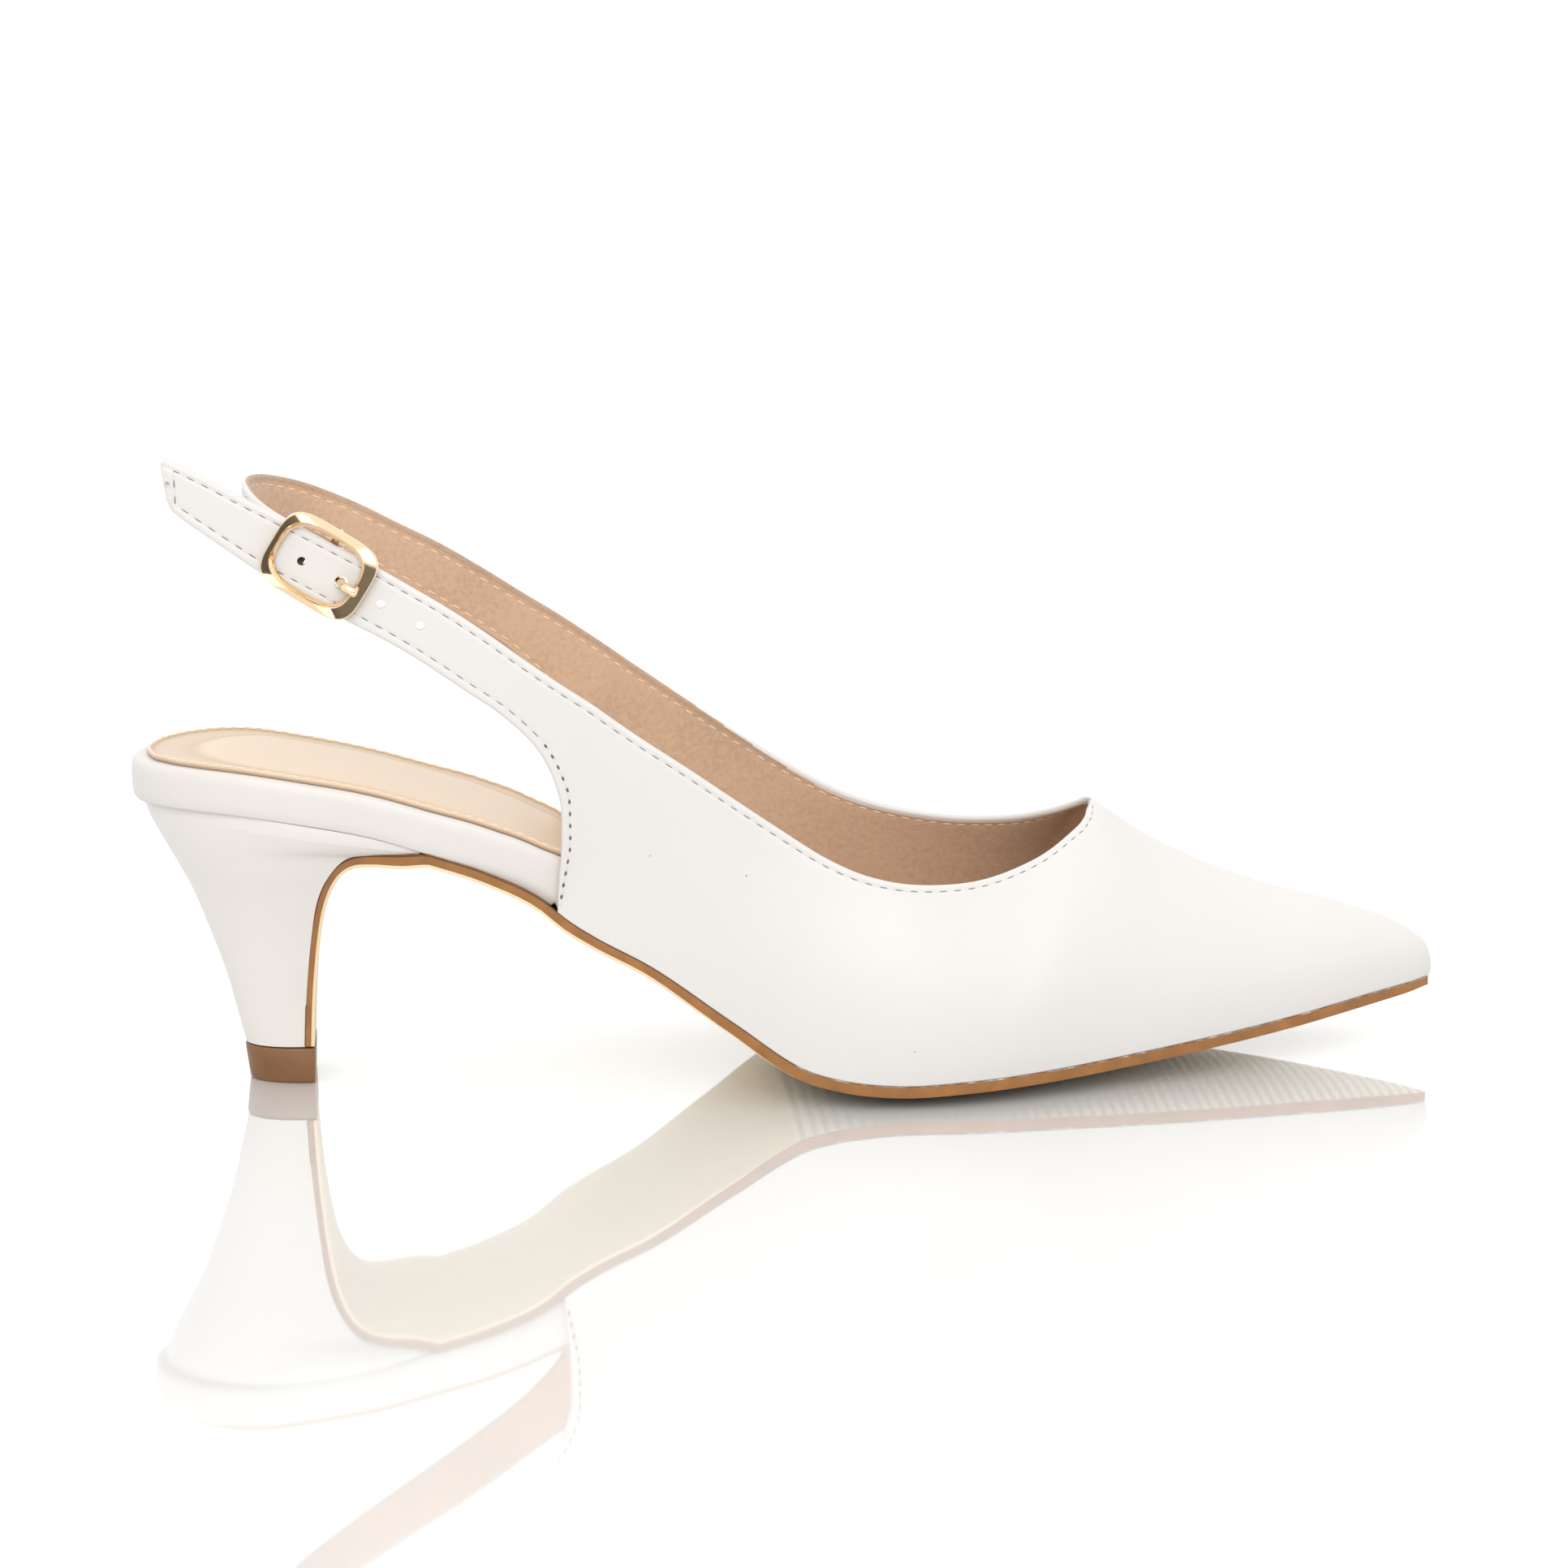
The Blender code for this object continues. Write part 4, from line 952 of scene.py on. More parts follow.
class SHOE_OT_upper(bpy.types.Operator):
    """Leather and lining of the upper with its turned edges, strap holes and the slot in the sling's fold"""

    bl_idname = "shoe.upper"
    bl_label = "Upper"

    def execute(self, context):
        colours = context.scene.shoe_colours
        upper = Upper(context.scene.shoe_sizes)
        bm = bmesh.new()
        for grid, lining in zip(upper.grids, upper.linings):
            add_sheet(bm, grid, 0)
            add_sheet(bm, lining[:, :-TURNED_COLUMNS], 1)
            for k in range(TURNED_COLUMNS):
                rim = lining[:, lining.shape[1] - 2 - k:lining.shape[1] - k]
                turned = upper.throat + RIM_RIBS * RIB_SPLITS - (k + 1) * RIM_TAPER_ROWS
                add_sheet(bm, rim[:upper.throat + 1], 1)
                add_sheet(bm, rim[upper.throat:turned + 1], 0)
                # Past the turned leather the lining's edge takes the lining with painted shade
                add_sheet(bm, rim[turned:], 2)
        strip, behind = upper.rolled_edge()
        half = ROLL_STEPS // 2
        add_sheet(bm, strip[:, :half + 1], 0)
        for k in range(half, ROLL_STEPS):
            # Where the roll shows the lining it takes the lining with painted shade
            raw = behind > (ROLL_STEPS - 1 - k) * RIM_TAPER_ROWS
            start = 0
            for stop in [*np.flatnonzero(np.diff(raw)), len(raw) - 1]:
                add_sheet(bm, strip[start:stop + 1, k:k + 2], 2 if raw[stop] else 0)
                start = stop
        bmesh.ops.remove_doubles(bm, verts=bm.verts[:], dist=WELD)
        for k in range(HOLE_COUNT):
            radius = WORN_HOLE_RADIUS if k == HOLES_BEHIND else HOLE_RADIUS
            self.punch(bm, PRONG_HOLE_A + (k - HOLES_BEHIND) * HOLE_PITCH, radius)
        self.slot_fold(bm)
        leather = leather_material("upper_leather", colours.leather, coat=0.12)
        suede = lining_material("lining_suede", colours.lining)
        # Darker copy of the lining for its edge: painted shade
        edge = lining_material("lining_edge_shaded", shade(colours.lining, LINING_EDGE_SHADE))
        finish_piece("upper_shell", bm, [leather, suede, edge], "upper")
        return {"FINISHED"}

    def punch(self, bm, a, radius):
        """Round hole through leather and lining of the strap."""
        axis = Vector((buckle_point(a, HOLE_W, BAR_DEPTH) + SHIFT) * MM)
        reach = HOLE_REACH * radius * MM
        deep = HOLE_DEEP * WALL * MM

        def off(face):
            middle = face.calc_center_median()
            return Vector((middle.x - axis.x, 0.0, middle.z - axis.z)).length

        near = [f for f in bm.faces if off(f) < reach and abs(f.calc_center_median().y - axis.y) < deep]
        for k in range(HOLE_CUTS):
            turn = 2.0 * pi * k / HOLE_CUTS
            out = Vector((cos(turn), 0.0, sin(turn)))
            near = cut_faces(bm, near, axis + out * radius * MM, out)
        inside = [f for f in near if off(f) < radius * MM]
        rim = {e for f in inside for e in f.edges if any(g not in inside for g in e.link_faces)}
        bmesh.ops.delete(bm, geom=inside, context="FACES")
        made = bmesh.ops.bridge_loops(bm, edges=[e for e in rim if e.is_valid])
        for face in made["faces"]:
            face.material_index = 0

    def slot_fold(self, bm):
        """Opening in the sling's fold round the middle bar, where the prong's eye sits."""
        along = Vector(buckle_point(1.0, 0.0, 0.0) - buckle_point(0.0, 0.0, 0.0))
        across = Vector(buckle_point(0.0, 1.0, 0.0) - buckle_point(0.0, 0.0, 0.0))
        middle = Vector((buckle_point(0.0, HOLE_W, 0.0) + SHIFT) * MM)
        reach = (BAR_RADIUS + 2.0 * PRONG_RADIUS + 2.0 * GAP) * MM
        half = (PRONG_RADIUS + GAP) * MM
        deep = (SLING_RADIUS + 0.5 * GAP) * MM
        near = []
        for face in bm.faces:
            place = face.calc_center_median() - middle
            if place.length < FOLD_REACH * MM and abs(place.y) < deep:
                near.append(face)
        for point, normal in ((across * half, across), (across * -half, across), (along * -reach, along)):
            near = cut_faces(bm, near, middle + point, normal)
        gone = []
        for face in near:
            place = face.calc_center_median() - middle
            if abs(place.dot(across)) < half and place.dot(along) > -reach:
                gone.append(face)
        bmesh.ops.delete(bm, geom=gone, context="FACES")


def add_stitches(bm, points, normals, pitch, start, long, wide, high):
    """Row of small rounded stitches along a line on a surface; the first stands at a share of the pitch."""
    run = run_along(points)
    middles = np.arange(start * pitch, run[-1] - 0.5 * long, pitch)
    swell = np.linspace(-1.0, 1.0, BEAD_ROWS)
    at = (middles[:, None] + 0.5 * long * swell).ravel()
    size = np.tile(np.sqrt(1.0 - swell**2), len(middles))[:, None, None]
    along = unit(sample(points, run, at + 0.5 * wide) - sample(points, run, at - 0.5 * wide))
    side = unit(np.cross(sample(normals, run, at), along))
    up = np.cross(along, side)
    turn = np.linspace(0.0, 2.0 * pi, BEAD_SIDES + 1)[None, :, None]
    ring = 0.5 * wide * np.cos(turn) * side[:, None] + 0.5 * high * np.sin(turn) * up[:, None]
    add_sheet(bm, sample(points, run, at)[:, None] + size * ring)


class SHOE_OT_stitches(bpy.types.Operator):
    """Threads and needle marks of painted shade along the edges of the upper, outside and in the lining"""

    bl_idname = "shoe.stitches"
    bl_label = "Stitches"

    def execute(self, context):
        sizes, colours = context.scene.shoe_sizes, context.scene.shoe_colours
        upper = Upper(sizes)
        pitch, wide, mark = sizes.stitch_pitch / MM, sizes.thread_wide / MM, sizes.mark_long / MM
        rear, dot = sizes.rear_pitch / MM, sizes.rear_mark / MM
        high = THREAD_HIGH * wide
        thread, hole_shades_and_scuffs, rear_hole_shades, inside = (bmesh.new() for _ in range(4))
        for line in upper.seams(False):
            add_stitches(thread, *line, pitch, 0.5, pitch - MARK_BITE * mark, wide, high)
            add_stitches(hole_shades_and_scuffs, *line, pitch, 1.0, mark, MARK_WIDE * wide, MARK_HIGH)
        line = upper.rear_seam()
        add_stitches(thread, *line, rear, REAR_THREAD_START, rear - REAR_BITE * dot, wide, high)
        add_stitches(rear_hole_shades, *line, rear, REAR_DOT_START, dot, DOT_WIDE * dot, DOT_HIGH)
        for x, z, long, width in SCUFFS:
            away = np.hypot(upper.grids[0][:, :, 0] - x, upper.grids[0][:, :, 2] - z)
            row, col = np.unravel_index(np.argmin(away), away.shape)
            line = [field[0][row - 1:row + 2, col] for field in (upper.grids, upper.normals)]
            length = run_along(line[0])[-1]
            add_stitches(hole_shades_and_scuffs, *line, length, 0.5, min(long, SCUFF_MOST * length), width, SCUFF_HIGH)
        long, width, high = INSIDE_LONG * pitch, INSIDE_WIDE * wide, INSIDE_HIGH * wide
        for line in upper.seams(True):
            add_stitches(inside, *line, pitch, 0.5, long, width, high)
        # Needle marks are dark beads of painted shade in the holes, deeper at the rear edge; the scuffs share
        # their grey
        for name, made, look, color, roughness in (
            ("upper_thread", thread, "thread_white", colours.thread, 0.6),
            ("needle_hole_shade_and_scuffs", hole_shades_and_scuffs, "hole_shade_and_scuff", colours.mark, 0.9),
            ("rear_needle_hole_shade", rear_hole_shades, "rear_hole_shade", shade(colours.mark, 0.5), 0.9),
            ("lining_thread", inside, "lining_thread", colours.lining_thread, 0.6),
        ):
            finish_piece(name, made, [new_material(look, color, roughness)])
        return {"FINISHED"}


def seat_outline():
    """Outline of the footbed from the toe along the outer side, round the seat and back, and its spine."""
    turn = np.linspace(0.0, 1.0, OUTLINE_STEPS)
    x = SEAT_REAR_X + (FOOTBED_END - SEAT_REAR_X) * turn**2
    outer = np.stack([x, -(last("outer", x) - footbed("inset", x))], 1)[::-1]
    inner = np.stack([x, last("inner", x) - footbed("inset", x)], 1)
    line = np.vstack([outer, [SEAT_BACK], inner])
    run = run_along(line)
    line = sample(line, run, np.linspace(0.0, run[-1], LOOP_STEPS))
    for _ in range(LOOP_PASSES):
        line[1:-1] = 0.25 * line[:-2] + 0.5 * line[1:-1] + 0.25 * line[2:]
    middle = 0.5 * (last("inner", line[:, 0]) - last("outer", line[:, 0]))
    spine = np.stack([np.clip(line[:, 0], SEAT_ROUND_X, FOOTBED_END - SPINE_SHORT), middle], 1)
    spine[:, 1] *= np.clip((line[:, 0] - SEAT_ROUND_X) / SEAT_ROUND_X, 0.0, 1.0)
    return line, spine


def way_in(line, spine, inset):
    """Points of the outline moved in towards its spine."""
    to_spine = spine - line
    far = np.linalg.norm(to_spine, axis=1)
    return line + to_spine * np.minimum(inset / np.maximum(far, 1e-6), 1.0)[:, None]


def footbed_thick(x, y):
    half = np.where(y < 0.0, last("outer", x), last("inner", x))
    return footbed("thick", x) - footbed("tilt", x) * np.clip(y / np.maximum(half, 1.0), -1.0, 1.0)


def over_footbed(place, height):
    """Points at a height over the top of the footbed."""
    x, y = np.maximum(place[:, 0], SEAT_REAR_X), place[:, 1]
    return np.column_stack([place, bottom_z(x, y) + GAP + footbed_thick(x, y) + height])


class SHOE_OT_footbed(bpy.types.Operator):
    """Covered footbed with its rounded edge, and the padded sock with its stitched border"""

    bl_idname = "shoe.footbed"
    bl_label = "Footbed and sock"

    def execute(self, context):
        colours = context.scene.shoe_colours
        line, spine = seat_outline()
        rows = []
        for inset, share, lift in RAND:
            place = way_in(line, spine, inset)
            x, y = np.maximum(place[:, 0], SEAT_REAR_X), place[:, 1]
            notch = NOTCH_DEEP * bell(x - NOTCH_X, NOTCH_LONG) * (y < 0.0) * (share == 0.0)
            height = bottom_z(x, y) + GAP + share * footbed_thick(x, y) + lift + notch
            rows.append(np.column_stack([place, height]))
        bm = bmesh.new()
        add_sheet(bm, np.array(rows))
        cover = leather_material("footbed_leather", colours.heel, coat=0.10)
        finish_piece("footbed_wrap", bm, [cover], "footbed")
        self.sock(context, line, spine)
        return {"FINISHED"}

    def sock(self, context, line, spine):
        """Sock with a raised rim, a sunk border and a padded middle, and the stitches on its rim."""
        sizes, colours = context.scene.shoe_sizes, context.scene.shoe_colours
        rows = []
        heel = np.clip(1.0 - line[:, 0] / SEAT_ROUND_X, 0.0, 1.0)
        wider, back = 1.0 + SOCK_HEEL_BORDER * heel, SOCK_HEEL_BACK * heel**2
        for inset, height, _ in SOCK_EDGE:
            border = min(inset, SOCK_BORDER) + max(inset - SOCK_BORDER, 0.0) * wider
            rows.append(over_footbed(way_in(line, spine, back + border), height))
        tones_with_painted_light = [tone for _, _, tone in SOCK_EDGE] + [SOCK_EDGE[-1][2]] * len(SOCK_MIDDLE)
        border, below = rows[-1][:, :2], rows[0][:, :2]
        for share, height in SOCK_MIDDLE:
            rows.append(over_footbed(border + (spine - border) * share, height))
        for share, _ in SOCK_MIDDLE:
            rows.insert(0, over_footbed(below + (spine - below) * share, SOCK_UNDER))
            tones_with_painted_light.insert(0, 0.0)
        bm = bmesh.new()
        # The tone of each point paints shade and highlight into the sock
        tone = bm.verts.layers.float.new("tone")
        for k, vert in enumerate(add_sheet(bm, np.array(rows))):
            vert[tone] = tones_with_painted_light[k // LOOP_STEPS]
        pad = finish_piece("sock", bm, [sock_material(colours.sock)], "insole_sock")
        rows = rows[len(SOCK_MIDDLE):]
        inner = np.clip(0.5 + line[:, 1:] / SOCK_SEAM_TURN, 0.0, 1.0)
        seam = rows[SOCK_OUTER_ROW] * (1.0 - inner) + rows[SOCK_INNER_ROW] * inner
        up = np.tile([0.0, 0.0, 1.0], (len(seam), 1))
        long, wide = SOCK_LONG * SOCK_PITCH, sizes.thread_wide / MM
        stitches = bmesh.new()
        add_stitches(stitches, seam, up, SOCK_PITCH, 0.5, long, SOCK_WIDE * wide, SOCK_HIGH * wide)
        thread = new_material("sock_thread", shade(colours.sock, 1.35), roughness=0.55)
        finish_piece("sock_thread", stitches, [thread])


def cross_row(x, y, z):
    """Row of points across the sole."""
    return np.stack(np.broadcast_arrays(x, y, z), 1)


class SHOE_OT_sole(bpy.types.Operator):
    """Outsole with its tan edge and ribbed underside"""

    bl_idname = "shoe.sole"
    bl_label = "Outsole"

    def execute(self, context):
        share = np.linspace(0.0, 1.0, SOLE_ACROSS)
        along = SOLE_START + (SOLE_END - SOLE_START) * np.sin(0.5 * pi * np.linspace(1.0, 0.0, SOLE_STEPS))
        under, over = [], []
        for x in along:
            low, high = -last("outer", x)[0], last("inner", x)[0]
            y = low + (high - low) * share
            top = bottom_z(np.full(SOLE_ACROSS, x), y)
            slope = (last("edge_z", x + 0.5) - last("edge_z", x - 0.5))[0]
            thin = SOLE_TIP_THIN * np.clip(1.0 - (SOLE_END - x) / SOLE_TIP_LONG, 0.0, 1.0) ** 2
            drop = np.maximum(top - (SOLE_THICK - thin) * np.sqrt(1.0 + slope**2), 0.0)
            over.append(cross_row(x, y, top + SOLE_SEAT))
            under.append(cross_row(x, y, drop))
        start = (SOLE_START, *last("edge_z", SOLE_START), *last("outer", SOLE_START))
        flap = np.vstack([start, FLAP])
        steps = np.arange(1, (len(flap) - 1) * FLAP_SPLITS + 1) / FLAP_SPLITS
        path = hermite(flap, np.arange(len(flap)), steps)
        heading = unit(np.gradient(np.vstack([flap[:1], path])[:, :2], axis=0)[1:])
        for (x, z, half), (dx, dz) in zip(path, heading):
            y = half * (2.0 * share - 1.0)
            bent = min(1.0, max(0.0, (FLAP_BEND_X - x) / FLAP_BEND_LONG))
            thick = SOLE_THICK + (FLAP_THICK - SOLE_THICK) * bent
            over.append(cross_row(x + dz * FLAP_SEAT, y, z - dx * FLAP_SEAT))
            under.append(cross_row(x - dz * thick, y, z + dx * thick))
        bm = self.skin(np.array(under), np.array(over))
        looks = self.looks(context.scene.shoe_colours)
        finish_piece("outsole_sheet", bm, looks, "outsole", sharp=40.0)
        return {"FINISHED"}

    def skin(self, under, over):
        """Skin with a pale underside, an eased lower corner and a tan edge."""
        wide = np.linalg.norm(over[:, -1] - over[:, 0], axis=1)
        ease = np.minimum(SOLE_EASE, EASE_MOST * wide)[:, None]
        high = SOLE_BAND * np.clip(np.abs(over[:, :1, 0] - BAND_START_X) / BAND_TAPER, BAND_LEAST, 1.0)
        corners = [under[:, k] + unit(over[:, k] - under[:, k]) * high for k in (0, -1)]
        floor = under.copy()
        for k, within in ((0, 1), (-1, -2)):
            floor[:, k] -= unit(over[:, k] - over[:, within]) * ease
        bm = bmesh.new()
        add_sheet(bm, over, 0)
        split = np.argmax(over[:, 0, 0] < BAND_START_X)
        for part, band, flat in ((slice(0, split + 1), 0, 2), (slice(split, None), 1, 1)):
            add_sheet(bm, floor[part], flat)
            for k, corner in zip((0, -1), corners):
                add_sheet(bm, np.stack([floor[part, k], corner[part]], 1), band)
        for k, corner in zip((0, -1), corners):
            top = over[:, k]
            wide = np.minimum(GLUE_WIDE, 0.5 * np.linalg.norm(corner - top, axis=1))
            glue = top + unit(corner - top) * wide[:, None]
            add_sheet(bm, np.stack([corner, glue], 1), 0)
            add_sheet(bm, np.stack([glue, top], 1)[:split + 1], 3)
            add_sheet(bm, np.stack([glue, top], 1)[split:], 4)
        for row in (0, -1):
            lower = np.vstack([corners[0][row], floor[row], corners[1][row]])
            upper = np.vstack([over[row, 0], over[row], over[row, -1]])
            add_sheet(bm, np.stack([lower, upper], 1), 0)
        return bm

    def looks(self, colours):
        """Tan edge, pale sheet, ribbed tread, line of glue and dark seam."""
        sole, pale = colours.sole, colours.sole_tread
        edge = new_material("sole_edge", sole, roughness=0.48)
        streak = add_noise(edge, scale=220.0, detail=5.0)
        add_ramp(edge, streak, [(0.3, shade(sole, 0.82)), (0.55, sole), (0.75, shade(sole, 1.2))])
        add_bump(edge, add_noise(edge, scale=900.0, detail=3.0), strength=0.2, distance=0.0002)
        beneath = new_material("sole_under", colours.sole_under, roughness=0.45)
        tread = new_material("sole_tread", pale, roughness=0.5)
        place = add_place(tread)
        ribs = add_node(tread, "TexWave", {"Vector": place, "Scale": TREAD_RIBS}, bands_direction="X")
        add_bump(tread, ribs.outputs["Fac"], strength=0.4, distance=0.0004)
        # The grooves between the ribs are darker: painted shade
        add_ramp(tread, ribs.outputs["Fac"], [(0.2, shade(pale, 0.66)), (0.6, pale)])
        # The tread near the ground gets painted shade
        self.paint_ground_shade(tread, place)
        glue = new_material("glue_line", sole, roughness=0.6)
        dried = add_noise(glue, scale=420.0, detail=4.0)
        white = colours.leather
        add_ramp(glue, dried, [(0.42, shade(sole, 0.7)), (0.58, shade(white, 0.4)), (0.74, white)])
        seam = new_material("sole_seam", shade(sole, 0.35), roughness=0.7)
        return [edge, beneath, tread, glue, seam]

    def paint_ground_shade(self, tread, place):
        """Painted shade on the tread: darkened from the part that touches the ground up to a set height."""
        height = add_node(tread, "SeparateXYZ", {"Vector": place}).outputs["Z"]
        reach = {"From Min": GROUND_SHADE_LOW * MM, "From Max": GROUND_SHADE_HIGH * MM, "To Min": GROUND_SHADE_TONE}
        ground_shade = add_node(tread, "MapRange", {"Value": height, **reach}).outputs["Result"]
        inputs = {"Factor": 1.0, "A": from_shader(tread, "Base Color")[0], "B": ground_shade}
        mix = add_node(tread, "Mix", inputs, data_type="RGBA", blend_type="MULTIPLY")
        to_shader(tread, mix.outputs["Result"], "Base Color")


def heel_ring(rear, front, half, full):
    """Section of the heel from its flat front round the back: rear and front are points (x, z)."""
    s = 1.0 - np.sin(0.5 * pi * np.linspace(0.0, 1.0, HEEL_AROUND // 2)) ** HEEL_SPREAD
    y = half * np.sqrt(np.maximum(1.0 - (1.0 - s) ** full, 0.0))
    x = rear[0] + (front[0] - rear[0]) * s
    z = rear[1] + (front[1] - rear[1]) * s
    return np.vstack([np.stack([x, -y, z], 1), np.stack([x, y, z], 1)[::-1]])


class SHOE_OT_heel(bpy.types.Operator):
    """Covered heel block and the wearing piece under it"""

    bl_idname = "shoe.heel"
    bl_label = "Heel"

    def execute(self, context):
        colours = context.scene.shoe_colours
        final = len(HEEL) - 1
        rows = hermite(HEEL, np.arange(final + 1), np.linspace(0, final, final * HEEL_SPLITS + 1))
        rings = [heel_ring(row[0:2], row[2:4], row[4], row[5]) for row in rows]
        rings[-1][:, 2] = last("edge_z", rings[-1][:, 0]) + HEEL_SEAT
        bm = bmesh.new()
        add_skin(bm, rings)
        # The heel's leather is a lighter copy of the footbed's: painted light that offsets the shade under
        # its flared top
        cover = leather_material("heel_leather", shade(colours.heel, 1.07), coat=0.12)
        finish_piece("heel_cover", bm, [cover], "heel", sharp=45.0)
        full = HEEL[0][HEEL_COLUMNS.index("full")]
        bm = bmesh.new()
        add_skin(bm, [heel_ring((rear, z), (front, z), half, full) for z, rear, front, half in TOP_PIECE])
        brown = new_material("top_piece_brown", colours.top_piece, roughness=0.45, coat=0.1)
        stops = [(0.3, shade(colours.top_piece, 0.9)), (0.7, shade(colours.top_piece, 1.1))]
        add_ramp(brown, add_noise(brown, scale=300.0, detail=4.0), stops)
        finish_piece("top_piece_block", bm, [brown], "top_piece", sharp=50.0)
        return {"FINISHED"}


def outline(shape, turn):
    """Point of an outline of the frame at an angle round its middle."""
    front, rear, side, square = shape
    c, s = cos(turn), sin(turn)
    reach = (abs(c) / (front if c > 0.0 else rear)) ** square + (abs(s) / side) ** square
    return np.array([c, s]) * reach ** (-1.0 / square)


class SHOE_OT_buckle(bpy.types.Operator):
    """Polished buckle frame with its middle bar, and the prong"""

    bl_idname = "shoe.buckle"
    bl_label = "Buckle"

    def turned(self, a, w, n):
        """Point of the frame, which hangs a little steeper than the strap."""
        c, s = cos(FRAME_TURN), sin(FRAME_TURN)
        return buckle_point(a * c + w * s + FRAME_A, w * c - a * s + FRAME_W, n)

    def execute(self, context):
        gold = new_material("gold_plate", context.scene.shoe_colours.gold, roughness=0.09, metallic=1.0)
        rings = []
        for turn in np.linspace(0.0, 2.0 * pi, FRAME_STEPS + 1):
            lines = [outline(shape, turn) for shape in (FRAME_OUTER, FRAME_FACE, FRAME_OPENING)]
            power = TOP_LEAN_POWER if lines[0][1] > 0.0 else LOW_LEAN_POWER
            lean = FRAME_LEAN * (abs(lines[0][1]) / FRAME_OUTER[2]) ** power
            ring = []
            for *shares, height, leaning in (*FRAME_SECTION, FRAME_SECTION[0]):
                a, w = np.dot(shares, lines)
                dip = FRAME_DIP * (1.0 - (a / FRAME_OUTER[0]) ** 2)
                ring.append(self.turned(a, w, FRAME_N + height * FRAME_THICK - lean * leaning - dip))
            rings.append(ring)
        bm = bmesh.new()
        add_sheet(bm, np.array(rings))
        post = 0.5 * (FRAME_OUTER[2] + FRAME_OPENING[2])
        near = POST_BEND * POST_NEAR
        bend = [(post, FRAME_N - FRAME_DIP), (post, POST_BEND), (post - near, near), (post - POST_BEND, 0.0)]
        path = [(-w, n) for w, n in bend] + bend[::-1]
        add_skin(bm, tube_rings([self.turned(-FRAME_A, w, n) for w, n in path], BAR_RADIUS))
        finish_piece("buckle_frame_gold", bm, [gold], "buckle_frame", sharp=24.0)
        bm = bmesh.new()
        add_skin(bm, self.prong())
        finish_piece("buckle_prong_gold", bm, [gold], "buckle_prong")
        return {"FINISHED"}

    def prong(self):
        """Rings of the prong: its eye round the middle bar, the shaft and the rounded tip."""
        eye = BAR_RADIUS + GAP + PRONG_RADIUS
        turns = np.radians(np.arange(EYE_START, EYE_STOP, EYE_STEP))
        path = [(eye * cos(turn), eye * sin(turn)) for turn in turns]
        final = len(PRONG)
        shaft = hermite([path[-1], *PRONG], np.arange(final + 1), np.linspace(0, final, PRONG_STEPS))
        points = [buckle_point(a, HOLE_W, n) for a, n in (*path, *shaft[1:])]
        end, ahead = points[-1], unit(points[-1] - points[-2])
        wide = [PRONG_RADIUS] * len(points) + [share * PRONG_RADIUS for _, share in PRONG_TIP]
        return tube_rings(points + [end + ahead * way for way, _ in PRONG_TIP], wide)


# Stage in metres: floor, and the dark cards in front of the shoe with y, z and half width of each row
FLOOR_HALF, FLOOR_WHITE, CARD_BLACK = 6.0, (0.81, 0.81, 0.805), (0.02, 0.018, 0.015)
CARD_X = -0.05
FLOOR_CARD = ((-5.0, 0.001, 2.3), (-0.36, 0.001, 0.16))
LIGHT_FLAG = ((-0.80, 0.24, 0.21), (-0.72, 0.10, 0.21), (-0.36, 0.004, 0.21))
# Even light from all round and one soft light from the front, aimed at the shoe
ROUND_STRENGTH = 1.25
LIGHT_PLACE, LIGHT_SIZE, LIGHT_POWER = (-0.2, -1.7, 0.9), 1.6, 21.0
# Camera: place, level heading, angle down and roll
CAMERA_PLACE, CAMERA_LEVEL = (-0.07045, -0.75514, 0.2060), (0.0900, 0.9959, 0.0)
CAMERA_PITCH, CAMERA_ROLL = radians(11.3), radians(0.4)
SENSOR, CLIP_START = 36.0, 0.01


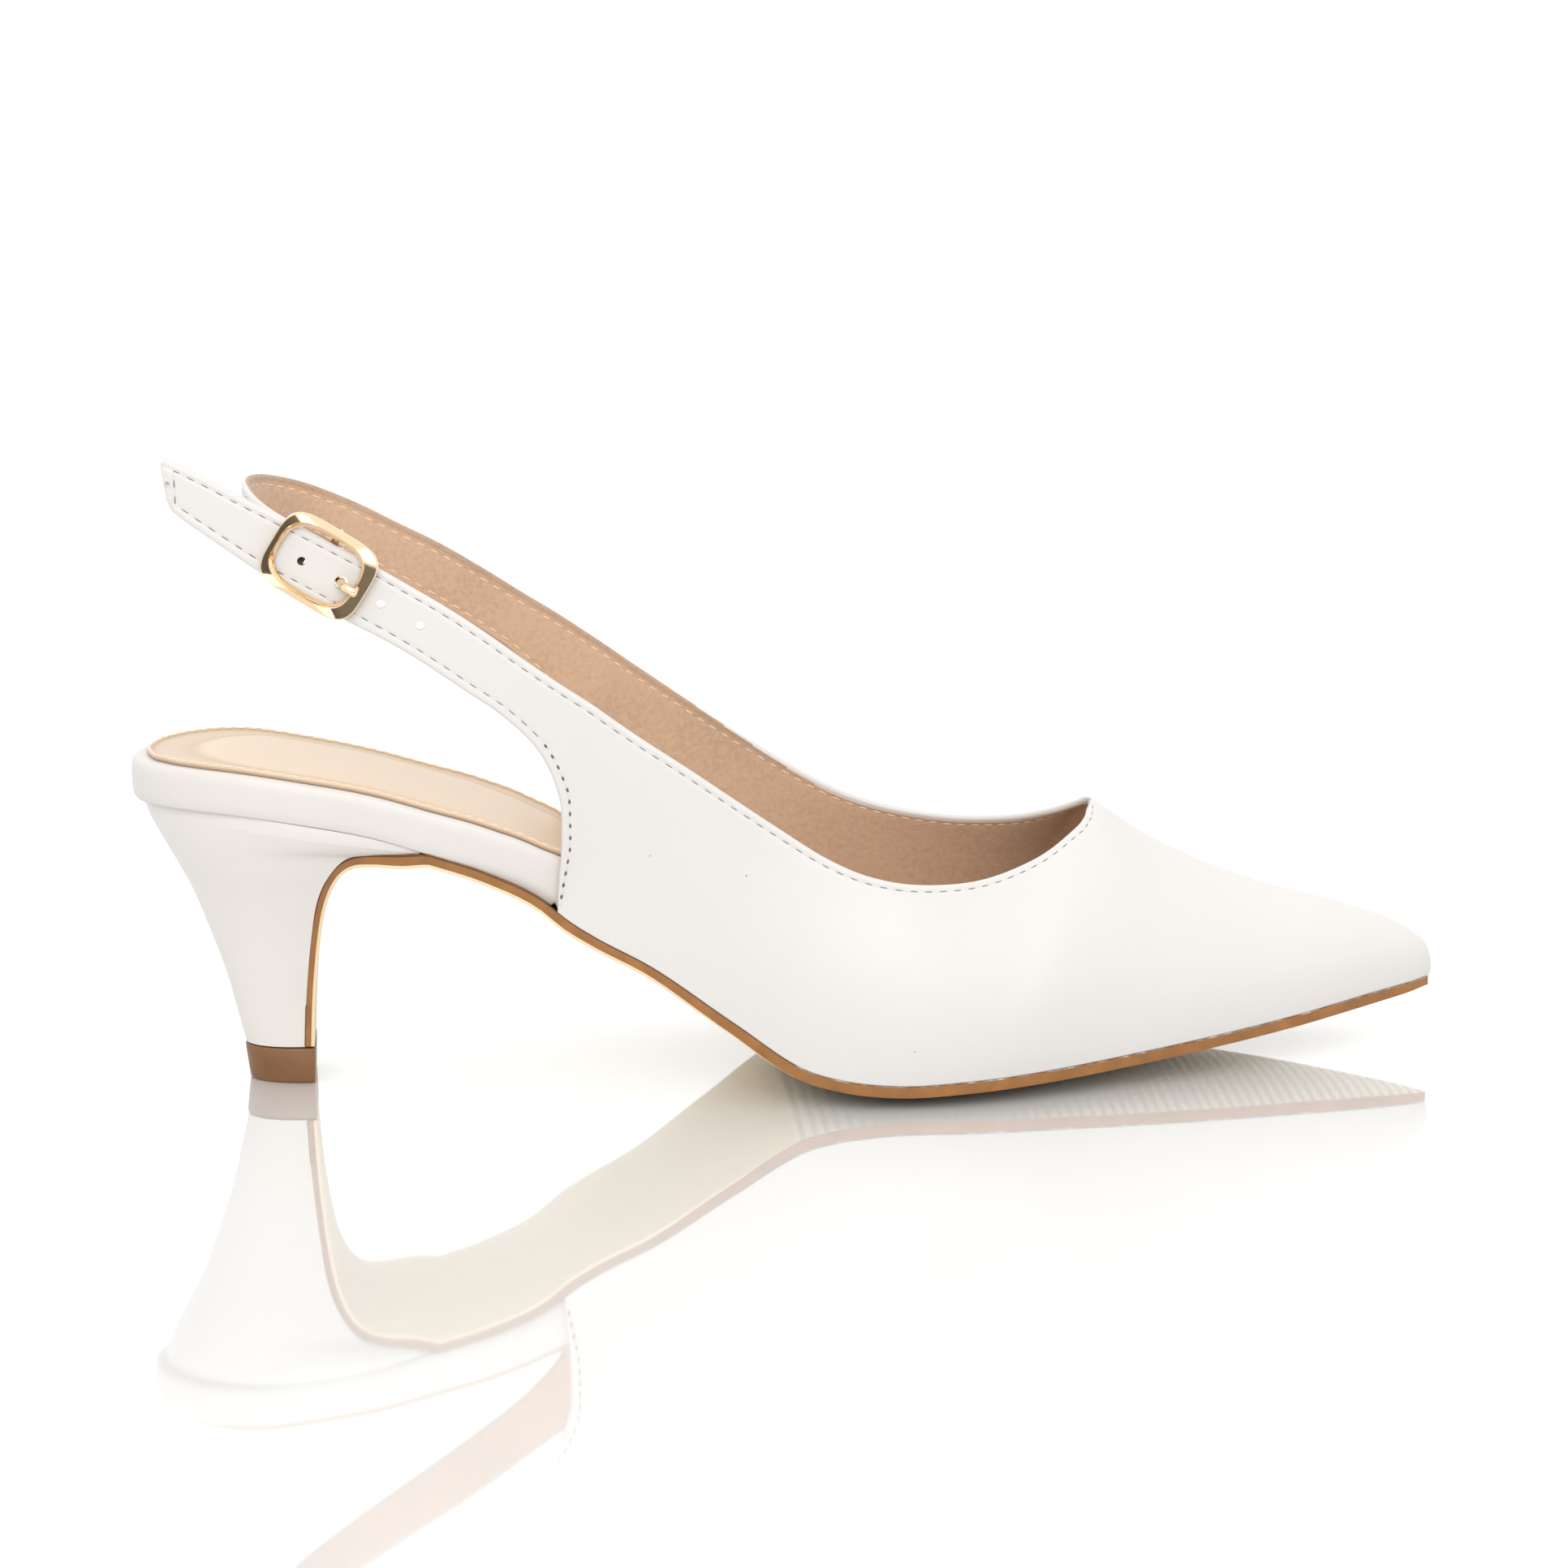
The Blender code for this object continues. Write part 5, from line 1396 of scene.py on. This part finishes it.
class SHOE_OT_stage(bpy.types.Operator):
    """White floor, soft light and the camera at the photo's angle"""

    bl_idname = "shoe.stage"
    bl_label = "Stage"

    def execute(self, context):
        scene = context.scene
        bm = bmesh.new()
        bmesh.ops.create_grid(bm, x_segments=1, y_segments=1, size=FLOOR_HALF)
        white = new_material(
            "floor_white", FLOOR_WHITE, roughness=0.04, metallic=0.22, coat=1.0, coat_roughness=0.03)
        floor = add_object("floor", bm, [white])
        black = self.card_material()
        card = self.card("floor_card", FLOOR_CARD, black)
        card.visible_diffuse = card.visible_shadow = False
        flag = self.card("light_flag", LIGHT_FLAG, black)
        flag.visible_glossy = False
        self.light(scene)
        self.camera(scene)
        scene.view_settings.view_transform = "Standard"
        return {"FINISHED"}

    def card_material(self):
        """Black seen from above and clear from below, so that the floor under a card stays white."""
        black = new_material("card_black", CARD_BLACK, roughness=0.9)
        tree = black.node_tree
        side = add_node(black, "NewGeometry", {}).outputs["Backfacing"]
        solid = tree.nodes["Principled BSDF"].outputs["BSDF"]
        clear = add_node(black, "BsdfTransparent", {}).outputs["BSDF"]
        mix = add_node(black, "MixShader", {0: side, 1: solid, 2: clear})
        tree.links.new(mix.outputs["Shader"], tree.nodes["Material Output"].inputs["Surface"])
        return black

    def card(self, name, rows, material):
        """Card out of the camera's sight: flat, it darkens polished faces; upright, it dims the light."""
        bm = bmesh.new()
        made = bmesh.ops.create_grid(bm, x_segments=1, y_segments=len(rows) - 1, size=1.0)["verts"]
        for k, vert in enumerate(made):
            y, z, half = rows[k // 2]
            vert.co = (half * vert.co.x + CARD_X, y, z)
        card = add_object(name, bm, [material])
        card.visible_camera = False
        return card

    def light(self, scene):
        world = bpy.data.worlds.new("studio")
        world.use_nodes = True
        background = world.node_tree.nodes["Background"]
        background.inputs["Color"].default_value = (1.0, 1.0, 1.0, 1.0)
        background.inputs["Strength"].default_value = ROUND_STRENGTH
        scene.world = world
        data = bpy.data.lights.new("front_light", "AREA")
        data.shape = "SQUARE"
        data.size = LIGHT_SIZE
        data.energy = LIGHT_POWER
        lamp = bpy.data.objects.new("front_light", data)
        lamp.location = LIGHT_PLACE
        lamp.rotation_euler = (-Vector(LIGHT_PLACE)).to_track_quat("-Z", "Y").to_euler()
        scene.collection.objects.link(lamp)

    def camera(self, scene):
        level = Vector(CAMERA_LEVEL).normalized()
        ahead = level * cos(CAMERA_PITCH) - Vector((0.0, 0.0, sin(CAMERA_PITCH)))
        right = ahead.cross(Vector((0.0, 0.0, 1.0))).normalized()
        up = right.cross(ahead)
        c, s = cos(CAMERA_ROLL), sin(CAMERA_ROLL)
        right, up = right * c - up * s, up * c + right * s
        data = bpy.data.cameras.new("photo_camera")
        data.sensor_width = SENSOR
        data.lens = scene.shoe_sizes.lens
        data.clip_start = CLIP_START
        camera = bpy.data.objects.new("photo_camera", data)
        turn = Matrix((right, up, -ahead)).transposed()
        camera.matrix_world = Matrix.Translation(Vector(CAMERA_PLACE)) @ turn.to_4x4()
        scene.collection.objects.link(camera)
        scene.camera = camera


class SHOE_PT_panel(bpy.types.Panel):
    """Buttons for the pieces of the shoe"""

    bl_idname = "SHOE_PT_panel"
    bl_label = "Slingback shoe"
    bl_space_type = "VIEW_3D"
    bl_region_type = "UI"
    bl_category = "Shoe"

    def draw(self, context):
        for name in OPERATORS:
            self.layout.operator("shoe." + name)


OPERATORS = ("upper", "stitches", "footbed", "sole", "heel", "buckle", "stage")
CLASSES = (
    ShoeSizes,
    ShoeColours,
    SHOE_OT_upper,
    SHOE_OT_stitches,
    SHOE_OT_footbed,
    SHOE_OT_sole,
    SHOE_OT_heel,
    SHOE_OT_buckle,
    SHOE_OT_stage,
    SHOE_PT_panel,
)


def register():
    for cls in CLASSES:
        bpy.utils.register_class(cls)
    bpy.types.Scene.shoe_sizes = bpy.props.PointerProperty(type=ShoeSizes)
    bpy.types.Scene.shoe_colours = bpy.props.PointerProperty(type=ShoeColours)


def unregister():
    del bpy.types.Scene.shoe_colours
    del bpy.types.Scene.shoe_sizes
    for cls in reversed(CLASSES):
        bpy.utils.unregister_class(cls)


def main():
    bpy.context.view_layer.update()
    register()
    for name in OPERATORS:
        getattr(bpy.ops.shoe, name)()


if __name__ == "__main__":
    main()
